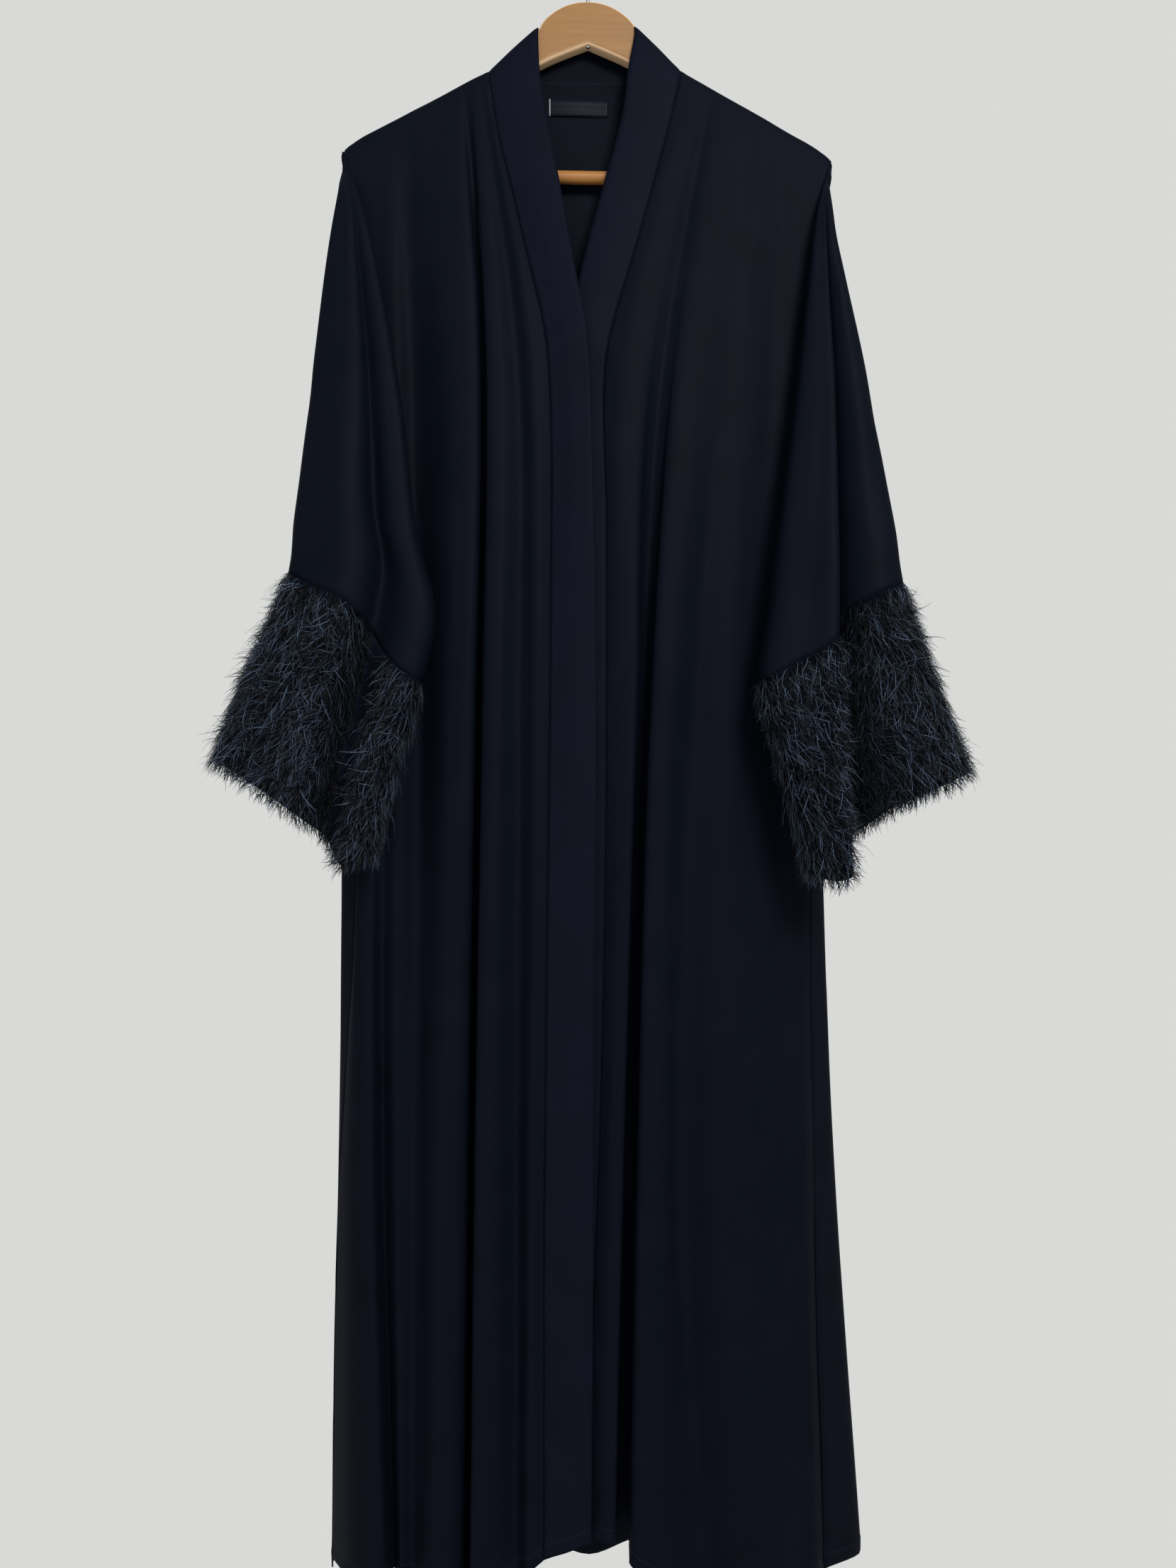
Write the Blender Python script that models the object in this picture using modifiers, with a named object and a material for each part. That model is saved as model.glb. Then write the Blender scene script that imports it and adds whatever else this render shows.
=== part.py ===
"""An open abaya cloak with fringed cuffs, on a wooden hanger.

Metres, +Z up, the front faces -Y and +X is the viewer's right. The origin is the inside top of the hanger's hook.
Left and right are the viewer's. Each panel is a loft of plan sections: a smooth curve through its folds at each height.
"""

from math import cos, pi, radians, sin, sqrt, tan

import bmesh
import bpy
from mathutils import Vector
from mathutils.bvhtree import BVHTree

# Driving sizes
CLOTH = 0.0016
CUFF_CLOTH = 0.0018
SEAM_GAP = 0.0003
BOARD = 0.0140
BAR_RADIUS = 0.0060
WIRE_RADIUS = 0.0019
HOOK_INNER_RADIUS = 0.0200
BAR_HEIGHT = -0.2340
CHEST, HIP, KNEE, HEM = -0.42, -0.75, -1.15, -1.55

# The line along which cloth lies on the hanger: distance from the middle, height
TOP_LINE = (
    (0.0400, -0.0885),
    (0.0455, -0.0930),
    (0.0725, -0.1205),
    (0.0900, -0.1355),
    (0.2150, -0.2040),
    (0.2310, -0.2160),
)

# How cloth rolls over the hanger's top: out from its middle plane, down from the top line
ROLL = (
    (0.0002, 0.0000),
    (0.0056, 0.0004),
    (0.0090, 0.0036),
    (0.0102, 0.0100),
)

# The hem of the two fronts and bands: across, height
FRONT_HEM = (
    (-0.245, -1.546),
    (-0.180, -1.541),
    (-0.140, -1.553),
    (-0.100, -1.556),
    (-0.060, -1.530),
    (-0.042, -1.519),
    (0.000, -1.502),
    (0.022, -1.507),
    (0.045, -1.535),
    (0.100, -1.556),
    (0.265, -1.558),
)
BACK_HEM = -1.556

# Edges of the bands: height, across, depth
LEFT_BAND_INNER = (
    (-0.105, -0.0475, -0.0110),
    (-0.142, -0.0460, -0.0140),
    (-0.195, -0.0380, -0.0190),
    (-0.241, -0.0290, -0.0230),
    (-0.334, -0.0130, -0.0310),
    (-0.392, -0.0020, -0.0350),
    (-0.500, 0.0030, -0.0390),
    (-0.800, 0.0070, -0.0440),
    (-1.003, 0.0040, -0.0480),
    (-1.260, 0.0030, -0.0520),
    (-1.500, 0.0010, -0.0520),
)
LEFT_BAND_SEAM = (
    (-0.147, -0.0935, -0.0102),
    (-0.205, -0.0840, -0.0150),
    (-0.264, -0.0700, -0.0200),
    (-0.317, -0.0580, -0.0250),
    (-0.391, -0.0410, -0.0300),
    (-0.430, -0.0370, -0.0320),
    (-0.677, -0.0360, -0.0380),
    (-0.938, -0.0390, -0.0440),
    (-1.260, -0.0420, -0.0480),
    (-1.504, -0.0420, -0.0490),
)
RIGHT_BAND_SEAM = (
    (-0.143, 0.0870, -0.0102),
    (-0.191, 0.0760, -0.0130),
    (-0.229, 0.0660, -0.0160),
    (-0.287, 0.0500, -0.0200),
    (-0.332, 0.0370, -0.0230),
    (-0.379, 0.0230, -0.0255),
    (-0.415, 0.0155, -0.0270),
    (-0.570, 0.0160, -0.0300),
    (-0.855, 0.0150, -0.0340),
    (-1.143, 0.0090, -0.0380),
    (-1.265, 0.0040, -0.0400),
    (-1.504, -0.0020, -0.0410),
)
RIGHT_BAND_INNER = (
    (-0.105, 0.0440, -0.0110),
    (-0.139, 0.0370, -0.0130),
    (-0.169, 0.0340, -0.0145),
    (-0.201, 0.0270, -0.0155),
    (-0.245, 0.0150, -0.0175),
    (-0.304, -0.0010, -0.0200),
    (-0.380, -0.0180, -0.0230),
    (-0.430, -0.0250, -0.0240),
    (-0.600, -0.0250, -0.0280),
    (-0.855, -0.0260, -0.0330),
    (-1.265, -0.0340, -0.0390),
    (-1.504, -0.0380, -0.0400),
)

# Armholes, then side seams: height, across, depth of the front's edge, depth of the back's edge
LEFT_SIDE = (
    (-0.226, -0.2292, -0.0102, 0.0102),
    (-0.300, -0.2225, -0.0100, 0.0100),
    (-0.380, -0.2195, -0.0080, 0.0080),
    (-0.450, -0.2250, -0.0040, -0.0012),
    (-0.620, -0.2260, -0.0050, -0.0022),
    (-0.900, -0.2170, -0.0120, -0.0120),
    (-1.045, -0.2250, -0.0110, -0.0110),
    (-1.152, -0.2330, -0.0060, -0.0060),
    (-1.300, -0.2390, 0.0000, 0.0000),
    (-1.555, -0.2430, 0.0040, 0.0040),
)
RIGHT_SIDE = (
    (-0.226, 0.2305, -0.0102, 0.0102),
    (-0.300, 0.2215, -0.0100, 0.0100),
    (-0.380, 0.2175, -0.0080, 0.0080),
    (-0.450, 0.2210, -0.0040, -0.0012),
    (-0.620, 0.2190, -0.0050, -0.0022),
    (-0.942, 0.2110, -0.0120, -0.0120),
    (-1.193, 0.2140, -0.0140, -0.0140),
    (-1.340, 0.2165, -0.0150, -0.0150),
    (-1.465, 0.2210, -0.0150, -0.0150),
    (-1.560, 0.2230, -0.0150, -0.0150),
)

# Folds of each panel, from the band or seam outwards: across at the top, chest, hip, knee and hem,
# then depth at the chest, hip, knee and hem
LEFT_FRONT_FOLDS = (
    ("pucker", -0.103, -0.055, -0.050, -0.054, -0.056, -0.034, -0.042, -0.049, -0.052),
    ("soft_valley", -0.112, -0.066, -0.065, -0.067, -0.068, -0.028, -0.034, -0.038, -0.040),
    ("proud_ridge", -0.122, -0.082, -0.083, -0.088, -0.092, -0.034, -0.045, -0.054, -0.058),
    ("ridge_edge", -0.130, -0.094, -0.0945, -0.101, -0.107, -0.031, -0.041, -0.051, -0.056),
    ("tuck", -0.136, -0.0985, -0.0995, -0.1055, -0.1115, -0.013, -0.010, -0.008, -0.008),
    ("far_lip", -0.142, -0.106, -0.1075, -0.113, -0.119, -0.024, -0.029, -0.034, -0.038),
    ("broad_ridge", -0.156, -0.128, -0.132, -0.136, -0.142, -0.024, -0.030, -0.042, -0.048),
    ("sleeve_valley", -0.172, -0.156, -0.160, -0.162, -0.164, -0.0135, -0.0120, -0.024, -0.028),
    ("plain", -0.188, -0.178, -0.180, -0.179, -0.173, -0.0125, -0.0150, -0.028, -0.034),
    ("strip_valley", -0.201, -0.192, -0.193, -0.192, -0.181, -0.0110, -0.0110, -0.018, -0.020),
    ("strip_edge", -0.211, -0.203, -0.203, -0.200, -0.188, -0.0100, -0.0130, -0.038, -0.046),
    ("strip_face", -0.222, -0.214, -0.2145, -0.218, -0.216, -0.0070, -0.0105, -0.028, -0.034),
)
RIGHT_FRONT_FOLDS = (
    ("inner_ridge", 0.098, 0.035, 0.030, 0.0205, 0.011, -0.030, -0.036, -0.044, -0.048),
    ("near_lip", 0.109, 0.056, 0.0425, 0.0300, 0.0205, -0.027, -0.036, -0.044, -0.049),
    ("tuck", 0.118, 0.071, 0.0510, 0.0385, 0.0295, -0.021, -0.012, -0.006, -0.005),
    ("ridge_edge", 0.125, 0.083, 0.0590, 0.0465, 0.0390, -0.026, -0.034, -0.042, -0.048),
    ("face", 0.135, 0.100, 0.0740, 0.0640, 0.065, -0.027, -0.036, -0.044, -0.050),
    ("soft_valley", 0.147, 0.128, 0.098, 0.086, 0.105, -0.021, -0.025, -0.030, -0.034),
    ("broad_ridge", 0.162, 0.148, 0.128, 0.117, 0.134, -0.018, -0.026, -0.042, -0.050),
    ("broad_face", 0.178, 0.170, 0.158, 0.150, 0.166, -0.0135, -0.0165, -0.042, -0.050),
    ("mild_valley", 0.195, 0.187, 0.180, 0.181, 0.198, -0.0110, -0.0120, -0.030, -0.036),
    ("side_ridge", 0.213, 0.205, 0.199, 0.201, 0.213, -0.0080, -0.0120, -0.026, -0.030),
)
BACK_FOLDS = (
    ("left_turn", -0.222, -0.2150, -0.2310, -0.2355, -0.2435, 0.0105, 0.0060, 0.0060, 0.0140),
    ("ridge_1", -0.205, -0.200, -0.205, -0.210, -0.218, 0.015, 0.021, 0.028, 0.036),
    ("valley_1", -0.175, -0.165, -0.168, -0.172, -0.178, 0.011, 0.011, 0.012, 0.013),
    ("ridge_2", -0.140, -0.128, -0.128, -0.130, -0.136, 0.015, 0.022, 0.032, 0.040),
    ("valley_2", -0.1005, -0.092, -0.090, -0.092, -0.096, 0.012, 0.012, 0.012, 0.013),
    ("neck_left", -0.0920, -0.066, -0.066, -0.067, -0.070, 0.018, 0.020, 0.025, 0.030),
    ("ridge_3", -0.055, -0.042, -0.042, -0.042, -0.044, 0.018, 0.024, 0.031, 0.038),
    ("valley_3", -0.005, -0.002, 0.000, 0.002, 0.002, 0.013, 0.013, 0.014, 0.015),
    ("ridge_4", 0.050, 0.040, 0.042, 0.046, 0.050, 0.018, 0.024, 0.031, 0.038),
    ("neck_right", 0.0855, 0.066, 0.066, 0.070, 0.076, 0.018, 0.020, 0.025, 0.030),
    ("valley_4", 0.0940, 0.090, 0.088, 0.094, 0.102, 0.012, 0.012, 0.012, 0.013),
    ("ridge_5", 0.138, 0.128, 0.128, 0.136, 0.150, 0.015, 0.022, 0.032, 0.040),
    ("valley_5", 0.172, 0.162, 0.164, 0.178, 0.196, 0.011, 0.011, 0.012, 0.013),
    ("ridge_6", 0.203, 0.198, 0.200, 0.216, 0.238, 0.015, 0.020, 0.028, 0.034),
    ("right_turn", 0.222, 0.2120, 0.2215, 0.2365, 0.2645, 0.0105, 0.0050, 0.0080, 0.0110),
)
NECK_CORNERS = (-0.0945, 0.0880)
NECK_DEPTH = 0.0125
NECK_SEAM = ((-0.0945, -0.1460), (0.0, -0.1505), (0.0880, -0.1430))

# Spans of a section that belong to the band, and steps along the curve between two folds
BAND_SPANS, STEPS = 2, 2

# Rows of each body panel below the roll, from the top to the hem
BODY_ROWS = (0.0, 0.022, 0.048, 0.08, 0.115, 0.155, 0.20, 0.26, 0.34, 0.44, 0.55, 0.67, 0.79, 0.90, 1.0)

# Sections of each sleeve and cuff: name, height of the outer edge, inner edge and seam, distance out of the outer
# edge, inner edge and seam, depth of the middle, half depth, share of the folds
LEFT_SLEEVE = (
    ("high", -0.262, -0.275, -0.295, 0.2395, 0.2110, 0.0, -0.0215, 0.0055, 0.05),
    ("chest", -0.335, -0.355, -0.375, 0.2495, 0.1900, 0.0, -0.0290, 0.0100, 0.25),
    ("underarm", -0.425, -0.460, -0.4540, 0.2595, 0.1715, 0.2275, -0.0350, 0.0140, 0.50),
    ("elbow", -0.530, -0.585, -0.5500, 0.2705, 0.1560, 0.2290, -0.0420, 0.0180, 0.80),
    ("corner", -0.575, -0.657, -0.6100, 0.2755, 0.1410, 0.2290, -0.0470, 0.0210, 0.95),
    ("cuff_seam", -0.622, -0.720, -0.6600, 0.2800, 0.1500, 0.2290, -0.0500, 0.0220, 1.00),
    ("cuff_middle", -0.708, -0.795, -0.7430, 0.3120, 0.1650, 0.2480, -0.0590, 0.0250, 1.00),
    ("cuff_hem", -0.791, -0.872, -0.8250, 0.3400, 0.1810, 0.2680, -0.0640, 0.0260, 1.00),
)
RIGHT_SLEEVE = (
    ("high", -0.262, -0.275, -0.295, 0.2330, 0.2170, 0.0, -0.0215, 0.0055, 0.05),
    ("chest", -0.335, -0.355, -0.375, 0.2450, 0.2050, 0.0, -0.0290, 0.0100, 0.25),
    ("underarm", -0.425, -0.460, -0.4540, 0.2630, 0.1910, 0.2240, -0.0350, 0.0140, 0.50),
    ("elbow", -0.530, -0.585, -0.5500, 0.2785, 0.1715, 0.2290, -0.0420, 0.0180, 0.80),
    ("corner", -0.580, -0.660, -0.6100, 0.2860, 0.1600, 0.2330, -0.0470, 0.0210, 0.95),
    ("cuff_seam", -0.628, -0.718, -0.6650, 0.2930, 0.1510, 0.2360, -0.0500, 0.0220, 1.00),
    ("cuff_middle", -0.714, -0.806, -0.7530, 0.3190, 0.1730, 0.2580, -0.0590, 0.0250, 1.00),
    ("cuff_hem", -0.800, -0.890, -0.8350, 0.3500, 0.1920, 0.2820, -0.0640, 0.0260, 1.00),
)
UNDERARM_RING, CUFF_RING = 3, 6
SLEEVE_HEAD_RADIUS = 0.0130
SLEEVE_HEAD_TURN = radians(105)

# Folds of the sleeves' faces, from the inner edge outwards: share of the way out, roundness, relief, share of the drop
LEFT_SLEEVE_FACE = (
    ("inner_face", 0.08, 0.75, 0.000, 0.06),
    ("inner_ridge", 0.24, 1.00, 0.000, 0.18),
    ("valley", 0.38, 1.00, -0.020, 0.47),
    ("lip", 0.48, 1.00, 0.000, 0.63),
    ("crest", 0.60, 1.00, 0.006, 0.76),
    ("outer_face", 0.81, 0.95, 0.000, 0.87),
    ("outer_turn", 0.97, 0.55, 0.000, 0.98),
)
RIGHT_SLEEVE_FACE = (
    ("inner_face", 0.10, 0.80, 0.000, 0.08),
    ("inner_ridge", 0.30, 1.00, 0.004, 0.22),
    ("crease_edge", 0.485, 1.00, 0.004, 0.42),
    ("valley", 0.540, 1.00, -0.022, 0.60),
    ("slope", 0.63, 1.00, -0.004, 0.77),
    ("outer_face", 0.80, 0.95, 0.000, 0.87),
    ("outer_turn", 0.97, 0.55, 0.000, 0.98),
)
SLEEVE_BACK_INNER = (("back_middle", 0.40), ("back_inner", 0.12))
SLEEVE_BACK_OUTER = (("back_turn", 0.95, 0.60), ("back_ridge", 0.82, 1.00))

# Rows of eyelash fringe on each cuff: share of the way down, and how the locks hang
FRINGE_ROWS = (0.04, 0.30, 0.56, 0.86)
STRIP_HEIGHT = 0.0040
STRIP_THICKNESS = 0.0010
STRIP_GAP = 0.0008
LOCK_LENGTH = 0.0440
LOCK_SPREAD = 0.0160

# Hanger outline, one half, along its underside from the middle: across, height
HANGER_UNDERSIDE = (
    (0.0000, -0.1100),
    (0.0450, -0.1300),
    (0.1000, -0.1680),
    (0.1700, -0.2110),
    (0.1818, -0.2240),
    (0.1818, -0.2430),
    (0.2000, -0.2470),
    (0.2140, -0.2410),
    (0.2225, -0.2250),
)
HUMP_TOP = -0.0690
HANGER_SEAT = 0.0024
HANGER_HALF = 0.2225

LABEL_WIDTH, LABEL_HEIGHT, LABEL_THICKNESS = 0.057, 0.016, 0.0008
LABEL_LEFT, LABEL_TOP = -0.0370, -0.1535

COLOURS = {
    "crepe": ((0.012, 0.014, 0.020), 0.55, 0.0),
    "band_crepe": ((0.014, 0.017, 0.025), 0.50, 0.0),
    "fringe_thread": ((0.016, 0.021, 0.026), 0.45, 0.0),
    "beech": ((0.480, 0.270, 0.130), 0.45, 0.0),
    "steel_wire": ((0.550, 0.550, 0.560), 0.30, 1.0),
    "woven_label": ((0.010, 0.011, 0.015), 0.70, 0.0),
}


def clear_scene():
    """Starts from an empty scene with one collection for the part."""
    for old in list(bpy.data.objects):
        bpy.data.objects.remove(old, do_unlink=True)
    part = bpy.data.collections.new("abaya_on_hanger")
    bpy.context.scene.collection.children.link(part)
    return part


def make_materials():
    """One Principled material for each stuff."""
    made = {}
    for name, (colour, roughness, metallic) in COLOURS.items():
        material = bpy.data.materials.new(name)
        material.use_nodes = True
        shader = material.node_tree.nodes["Principled BSDF"]
        shader.inputs["Base Color"].default_value = (*colour, 1.0)
        shader.inputs["Roughness"].default_value = roughness
        shader.inputs["Metallic"].default_value = metallic
        made[name] = material
    return made


def read(rows, height, column=1):
    """Reads a column of a table at a height, on a smooth curve through its rows, which run downwards."""
    if height >= rows[0][0]:
        return rows[0][column]
    if height <= rows[-1][0]:
        return rows[-1][column]
    slopes = [
        (b[column] - a[column]) / (b[0] - a[0])
        for a, b in zip(rows, rows[1:])
    ]
    for i, (a, b) in enumerate(zip(rows, rows[1:])):
        if height >= b[0]:
            break
    before = slopes[i - 1] if i > 0 else slopes[i]
    after = slopes[i + 1] if i + 1 < len(slopes) else slopes[i]
    start, end = (before + slopes[i]) / 2, (after + slopes[i]) / 2
    span = b[0] - a[0]
    t = (height - a[0]) / span
    return (
        a[column] * (1 + 2 * t) * (1 - t) ** 2
        + b[column] * t * t * (3 - 2 * t)
        + span * start * t * (1 - t) ** 2
        - span * end * t * t * (1 - t)
    )


def along(rows, x):
    """Reads a height from (across, height) rows by straight runs."""
    if x <= rows[0][0]:
        return rows[0][1]
    for (x0, z0), (x1, z1) in zip(rows, rows[1:]):
        if x <= x1:
            return z0 + (z1 - z0) * (x - x0) / (x1 - x0)
    return rows[-1][1]


def through(points, steps):
    """Points on a smooth curve through the given ones, with even steps between each two of them."""
    first = points[0] * 2 - points[1]
    last = points[-1] * 2 - points[-2]
    padded = [first, *points, last]
    curve = [points[0].copy()]
    for p0, p1, p2, p3 in zip(padded, padded[1:], padded[2:], padded[3:]):
        t0 = 0.0
        t1 = t0 + max(sqrt((p1 - p0).length), 1e-4)
        t2 = t1 + max(sqrt((p2 - p1).length), 1e-4)
        t3 = t2 + max(sqrt((p3 - p2).length), 1e-4)
        for k in range(1, steps + 1):
            t = t1 + (t2 - t1) * k / steps
            a1 = p0.lerp(p1, (t - t0) / (t1 - t0))
            a2 = p1.lerp(p2, (t - t1) / (t2 - t1))
            a3 = p2.lerp(p3, (t - t2) / (t3 - t2))
            b1 = a1.lerp(a2, (t - t0) / (t2 - t0))
            b2 = a2.lerp(a3, (t - t1) / (t3 - t1))
            curve.append(b1.lerp(b2, (t - t1) / (t2 - t1)))
    return curve


def between(rings, steps):
    """Rings between the given ones, each column a smooth curve."""
    columns = [through(list(column), steps) for column in zip(*rings)]
    return [list(ring) for ring in zip(*columns)]


def mitre(before, seam, after):
    """How far each of two walls that meet at an angle is drawn back, so that their inner corners keep the gap."""
    turn = (seam - before).angle(after - seam, 0.0)
    return SEAM_GAP / 2 + 0.0002 + CLOTH / 2 * tan(min(turn, 1.9) / 2)


def pulled(points, start=0.0, end=0.0):
    """The same points with both ends drawn back from their seams."""
    points = [p.copy() for p in points]
    points[0] += (points[1] - points[0]).normalized() * start
    points[-1] += (points[-2] - points[-1]).normalized() * end
    return points


def add_object(part, name, mesh, material):
    """Puts a mesh in the part's collection."""
    mesh.materials.append(material)
    made = bpy.data.objects.new(name, mesh)
    part.objects.link(made)
    return made


def grid_mesh(name, rows):
    """A mesh of the quads between rows of points, with points that coincide made one."""
    shape = bmesh.new()
    net = [[shape.verts.new(p) for p in row] for row in rows]
    for upper, lower in zip(net, net[1:]):
        for k in range(len(upper) - 1):
            shape.faces.new((upper[k], lower[k], lower[k + 1], upper[k + 1]))
    bmesh.ops.remove_doubles(shape, verts=shape.verts, dist=1e-6)
    mesh = bpy.data.meshes.new(name)
    shape.to_mesh(mesh)
    shape.free()
    return mesh


def add_wall(part, name, rows, material, thickness=CLOTH):
    """A cloth piece: the surface through the rows, given its thickness."""
    made = add_object(part, name, grid_mesh(name, rows), material)
    wall = made.modifiers.new("thickness", "SOLIDIFY")
    wall.thickness = thickness
    wall.offset = 0.0
    return made


def top_height(x):
    """Height of the cloth where it crosses the hanger."""
    return along(TOP_LINE, abs(x))


def rolled(x, side, top):
    """Points of one column from the top line over the hanger's edge, to the front (-1) or the back (1)."""
    return [Vector((x, side * out, top - down)) for out, down in ROLL]


def column(top_points, hem, across, depth):
    """One column of a panel: its roll, then its rows down to the hem."""
    start = top_points[-1].z
    below = []
    for share in BODY_ROWS[1:]:
        z = start + (hem - start) * share
        below.append(Vector((across(z), depth(z), z)))
    return top_points + below


def fold_column(fold, side, top_points, hem):
    """A column along one fold of a panel."""
    name, top, chest, hip, knee, low, y_chest, y_hip, y_knee, y_low = fold
    start = top_points[-1]
    rows = (
        (start.z, top, start.y),
        (CHEST, chest, y_chest),
        (HIP, hip, y_hip),
        (KNEE, knee, y_knee),
        (HEM, low, y_low),
    )
    return column(top_points, hem, lambda z: read(rows, z), lambda z: read(rows, z, 2))


def edge_column(rows, side, depth_column=2):
    """A column along a band's edge, a seam or an armhole."""
    x = rows[0][1]
    hem = along(FRONT_HEM, rows[-1][1]) if side < 0 else BACK_HEM
    top_points = rolled(x, side, top_height(x))
    return column(top_points, hem, lambda z: read(rows, z), lambda z: read(rows, z, depth_column))


def seated(rows, side):
    """Lifts the roll's points that a curve has left inside the hanger's rounded top edge."""
    outs = [out for out, down in ROLL]
    for row, out in zip(rows, outs):
        for point in row:
            point.y = side * max(side * point.y, out)
            if abs(point.y) < outs[-1]:
                point.z = max(point.z, top_height(point.x) - along(ROLL, abs(point.y)))
    return rows


def middle_column(first, second, bulge):
    """A column halfway between two others, raised towards the viewer."""
    return [a.lerp(b, 0.5) - Vector((0, bulge, 0)) for a, b in zip(first, second)]


def front_column(fold):
    """A front fold's column."""
    top_points = rolled(fold[1], -1, top_height(fold[1]))
    return fold_column(fold, -1, top_points, along(FRONT_HEM, fold[5]))


def back_column(fold):
    """A back fold's column, which starts at the shoulder seam or at the neck seam."""
    x = fold[1]
    if NECK_CORNERS[0] < x < NECK_CORNERS[1]:
        top = along(NECK_SEAM, x)
        top_points = [Vector((x, NECK_DEPTH, top - down)) for out, down in ROLL]
    else:
        top_points = rolled(x, 1, top_height(x))
    return fold_column(fold, 1, top_points, BACK_HEM)


def body_sections():
    """The rows of all body pieces, split at their seams, in the order from the left band to the right one."""
    left_seam = edge_column(LEFT_BAND_SEAM, -1)
    left_inner = edge_column(LEFT_BAND_INNER, -1)
    right_seam = edge_column(RIGHT_BAND_SEAM, -1)
    right_inner = edge_column(RIGHT_BAND_INNER, -1)
    left_front = [left_inner, middle_column(left_inner, left_seam, 0.0010), left_seam]
    left_front += [front_column(fold) for fold in LEFT_FRONT_FOLDS]
    left_front.append(edge_column(LEFT_SIDE, -1))
    back = [edge_column(LEFT_SIDE, 1, 3)]
    back += [back_column(fold) for fold in BACK_FOLDS]
    back.append(edge_column(RIGHT_SIDE, 1, 3))
    right_front = [right_inner, middle_column(right_inner, right_seam, 0.0010), right_seam]
    right_front += [front_column(fold) for fold in RIGHT_FRONT_FOLDS]
    right_front.append(edge_column(RIGHT_SIDE, -1))
    return left_front, back, right_front


def add_body(part, materials):
    """Both fronts, both front bands and the back, each drawn back from its seams."""
    left_front, back, right_front = [
        seated([through(list(row), STEPS) for row in zip(*columns)], side)
        for columns, side in zip(body_sections(), (-1, 1, -1))
    ]
    cut = BAND_SPANS * STEPS
    for name, rows, back_end in (("left", left_front, 0), ("right", right_front, -1)):
        band_rows = []
        front_rows = []
        for row, back_row in zip(rows, back):
            seam = mitre(row[cut - 1], row[cut], row[cut + 1])
            next_back = back_row[1] if back_end == 0 else back_row[-2]
            side_seam = mitre(row[-2], row[-1], next_back)
            band_rows.append(pulled(row[: cut + 1], end=seam))
            front_rows.append(pulled(row[cut:], seam, side_seam))
        if name == "left":
            band_rows.reverse()
            front_rows.reverse()
        add_wall(part, "band_" + name, band_rows, materials["band_crepe"])
        add_wall(part, "front_" + name, front_rows, materials["crepe"])
    rows = []
    for row, left, right in zip(back, left_front, right_front):
        rows.append(pulled(row, mitre(left[-2], row[0], row[1]), mitre(right[-2], row[-1], row[-2])))
    return add_wall(part, "back", rows, materials["crepe"])


def add_neck_band(part, materials):
    """The collar's back stretch, from one crossing of the hanger over the back neck to the other."""
    lower_depth = 0.0125
    stations = []
    for side in (-1, 1):
        seam_x = LEFT_BAND_SEAM[0][1] if side < 0 else RIGHT_BAND_SEAM[0][1]
        inner_x = LEFT_BAND_INNER[0][1] if side < 0 else RIGHT_BAND_INNER[0][1]
        lower = rolled(seam_x, 1, top_height(seam_x))
        upper = rolled(inner_x, 1, top_height(inner_x))
        lower = lower[:-1]
        upper = upper[:-1]
        lower.append(Vector((seam_x * 0.975, 0.0108, top_height(seam_x) - 0.0065)))
        upper.append(Vector((inner_x * 0.975, 0.0104, top_height(inner_x) - 0.0065)))
        ends = [(a, b) for a, b in zip(lower, upper)]
        stations.append(ends)
    middle = []
    for share in (-0.75, -0.4, 0.0, 0.4, 0.75):
        x = share * 0.0900 - 0.003
        inner = share * 0.0440 - 0.002
        seam = along(NECK_SEAM, x) + SEAM_GAP * 2
        top = -0.1060 + 0.0060 * share * share
        middle.append((Vector((x, lower_depth, seam)), Vector((inner, 0.0118, top))))
    path = stations[0] + middle + stations[1][::-1]
    rows = []
    for lower, upper in path:
        halfway = lower.lerp(upper, 0.5)
        rows.append(through([lower, halfway, upper], 2))
    return add_wall(part, "band_neck", rows, materials["band_crepe"])


def armhole_points(side, height):
    """The front and back edges of the sleeve at the armhole, just outside the body's panels."""
    table = LEFT_SIDE if side < 0 else RIGHT_SIDE
    x = read(table, height)
    front = Vector((x + side * 0.0012, read(table, height, 2) - 0.0034, height))
    back = Vector((x + side * 0.0012, read(table, height, 3), height))
    return front, back


def sleeve_head(side, count):
    """The first ring of a sleeve, sewn over the hanger's tip."""
    x = side * (TOP_LINE[-1][0] + 0.0014)
    top = TOP_LINE[-1][1] + 0.0002
    ring = []
    for k in range(count):
        turn = SLEEVE_HEAD_TURN * (2 * k / (count - 1) - 1)
        ring.append(Vector((x, SLEEVE_HEAD_RADIUS * sin(turn), top - SLEEVE_HEAD_RADIUS * (1 - cos(turn)))))
    return ring


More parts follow.
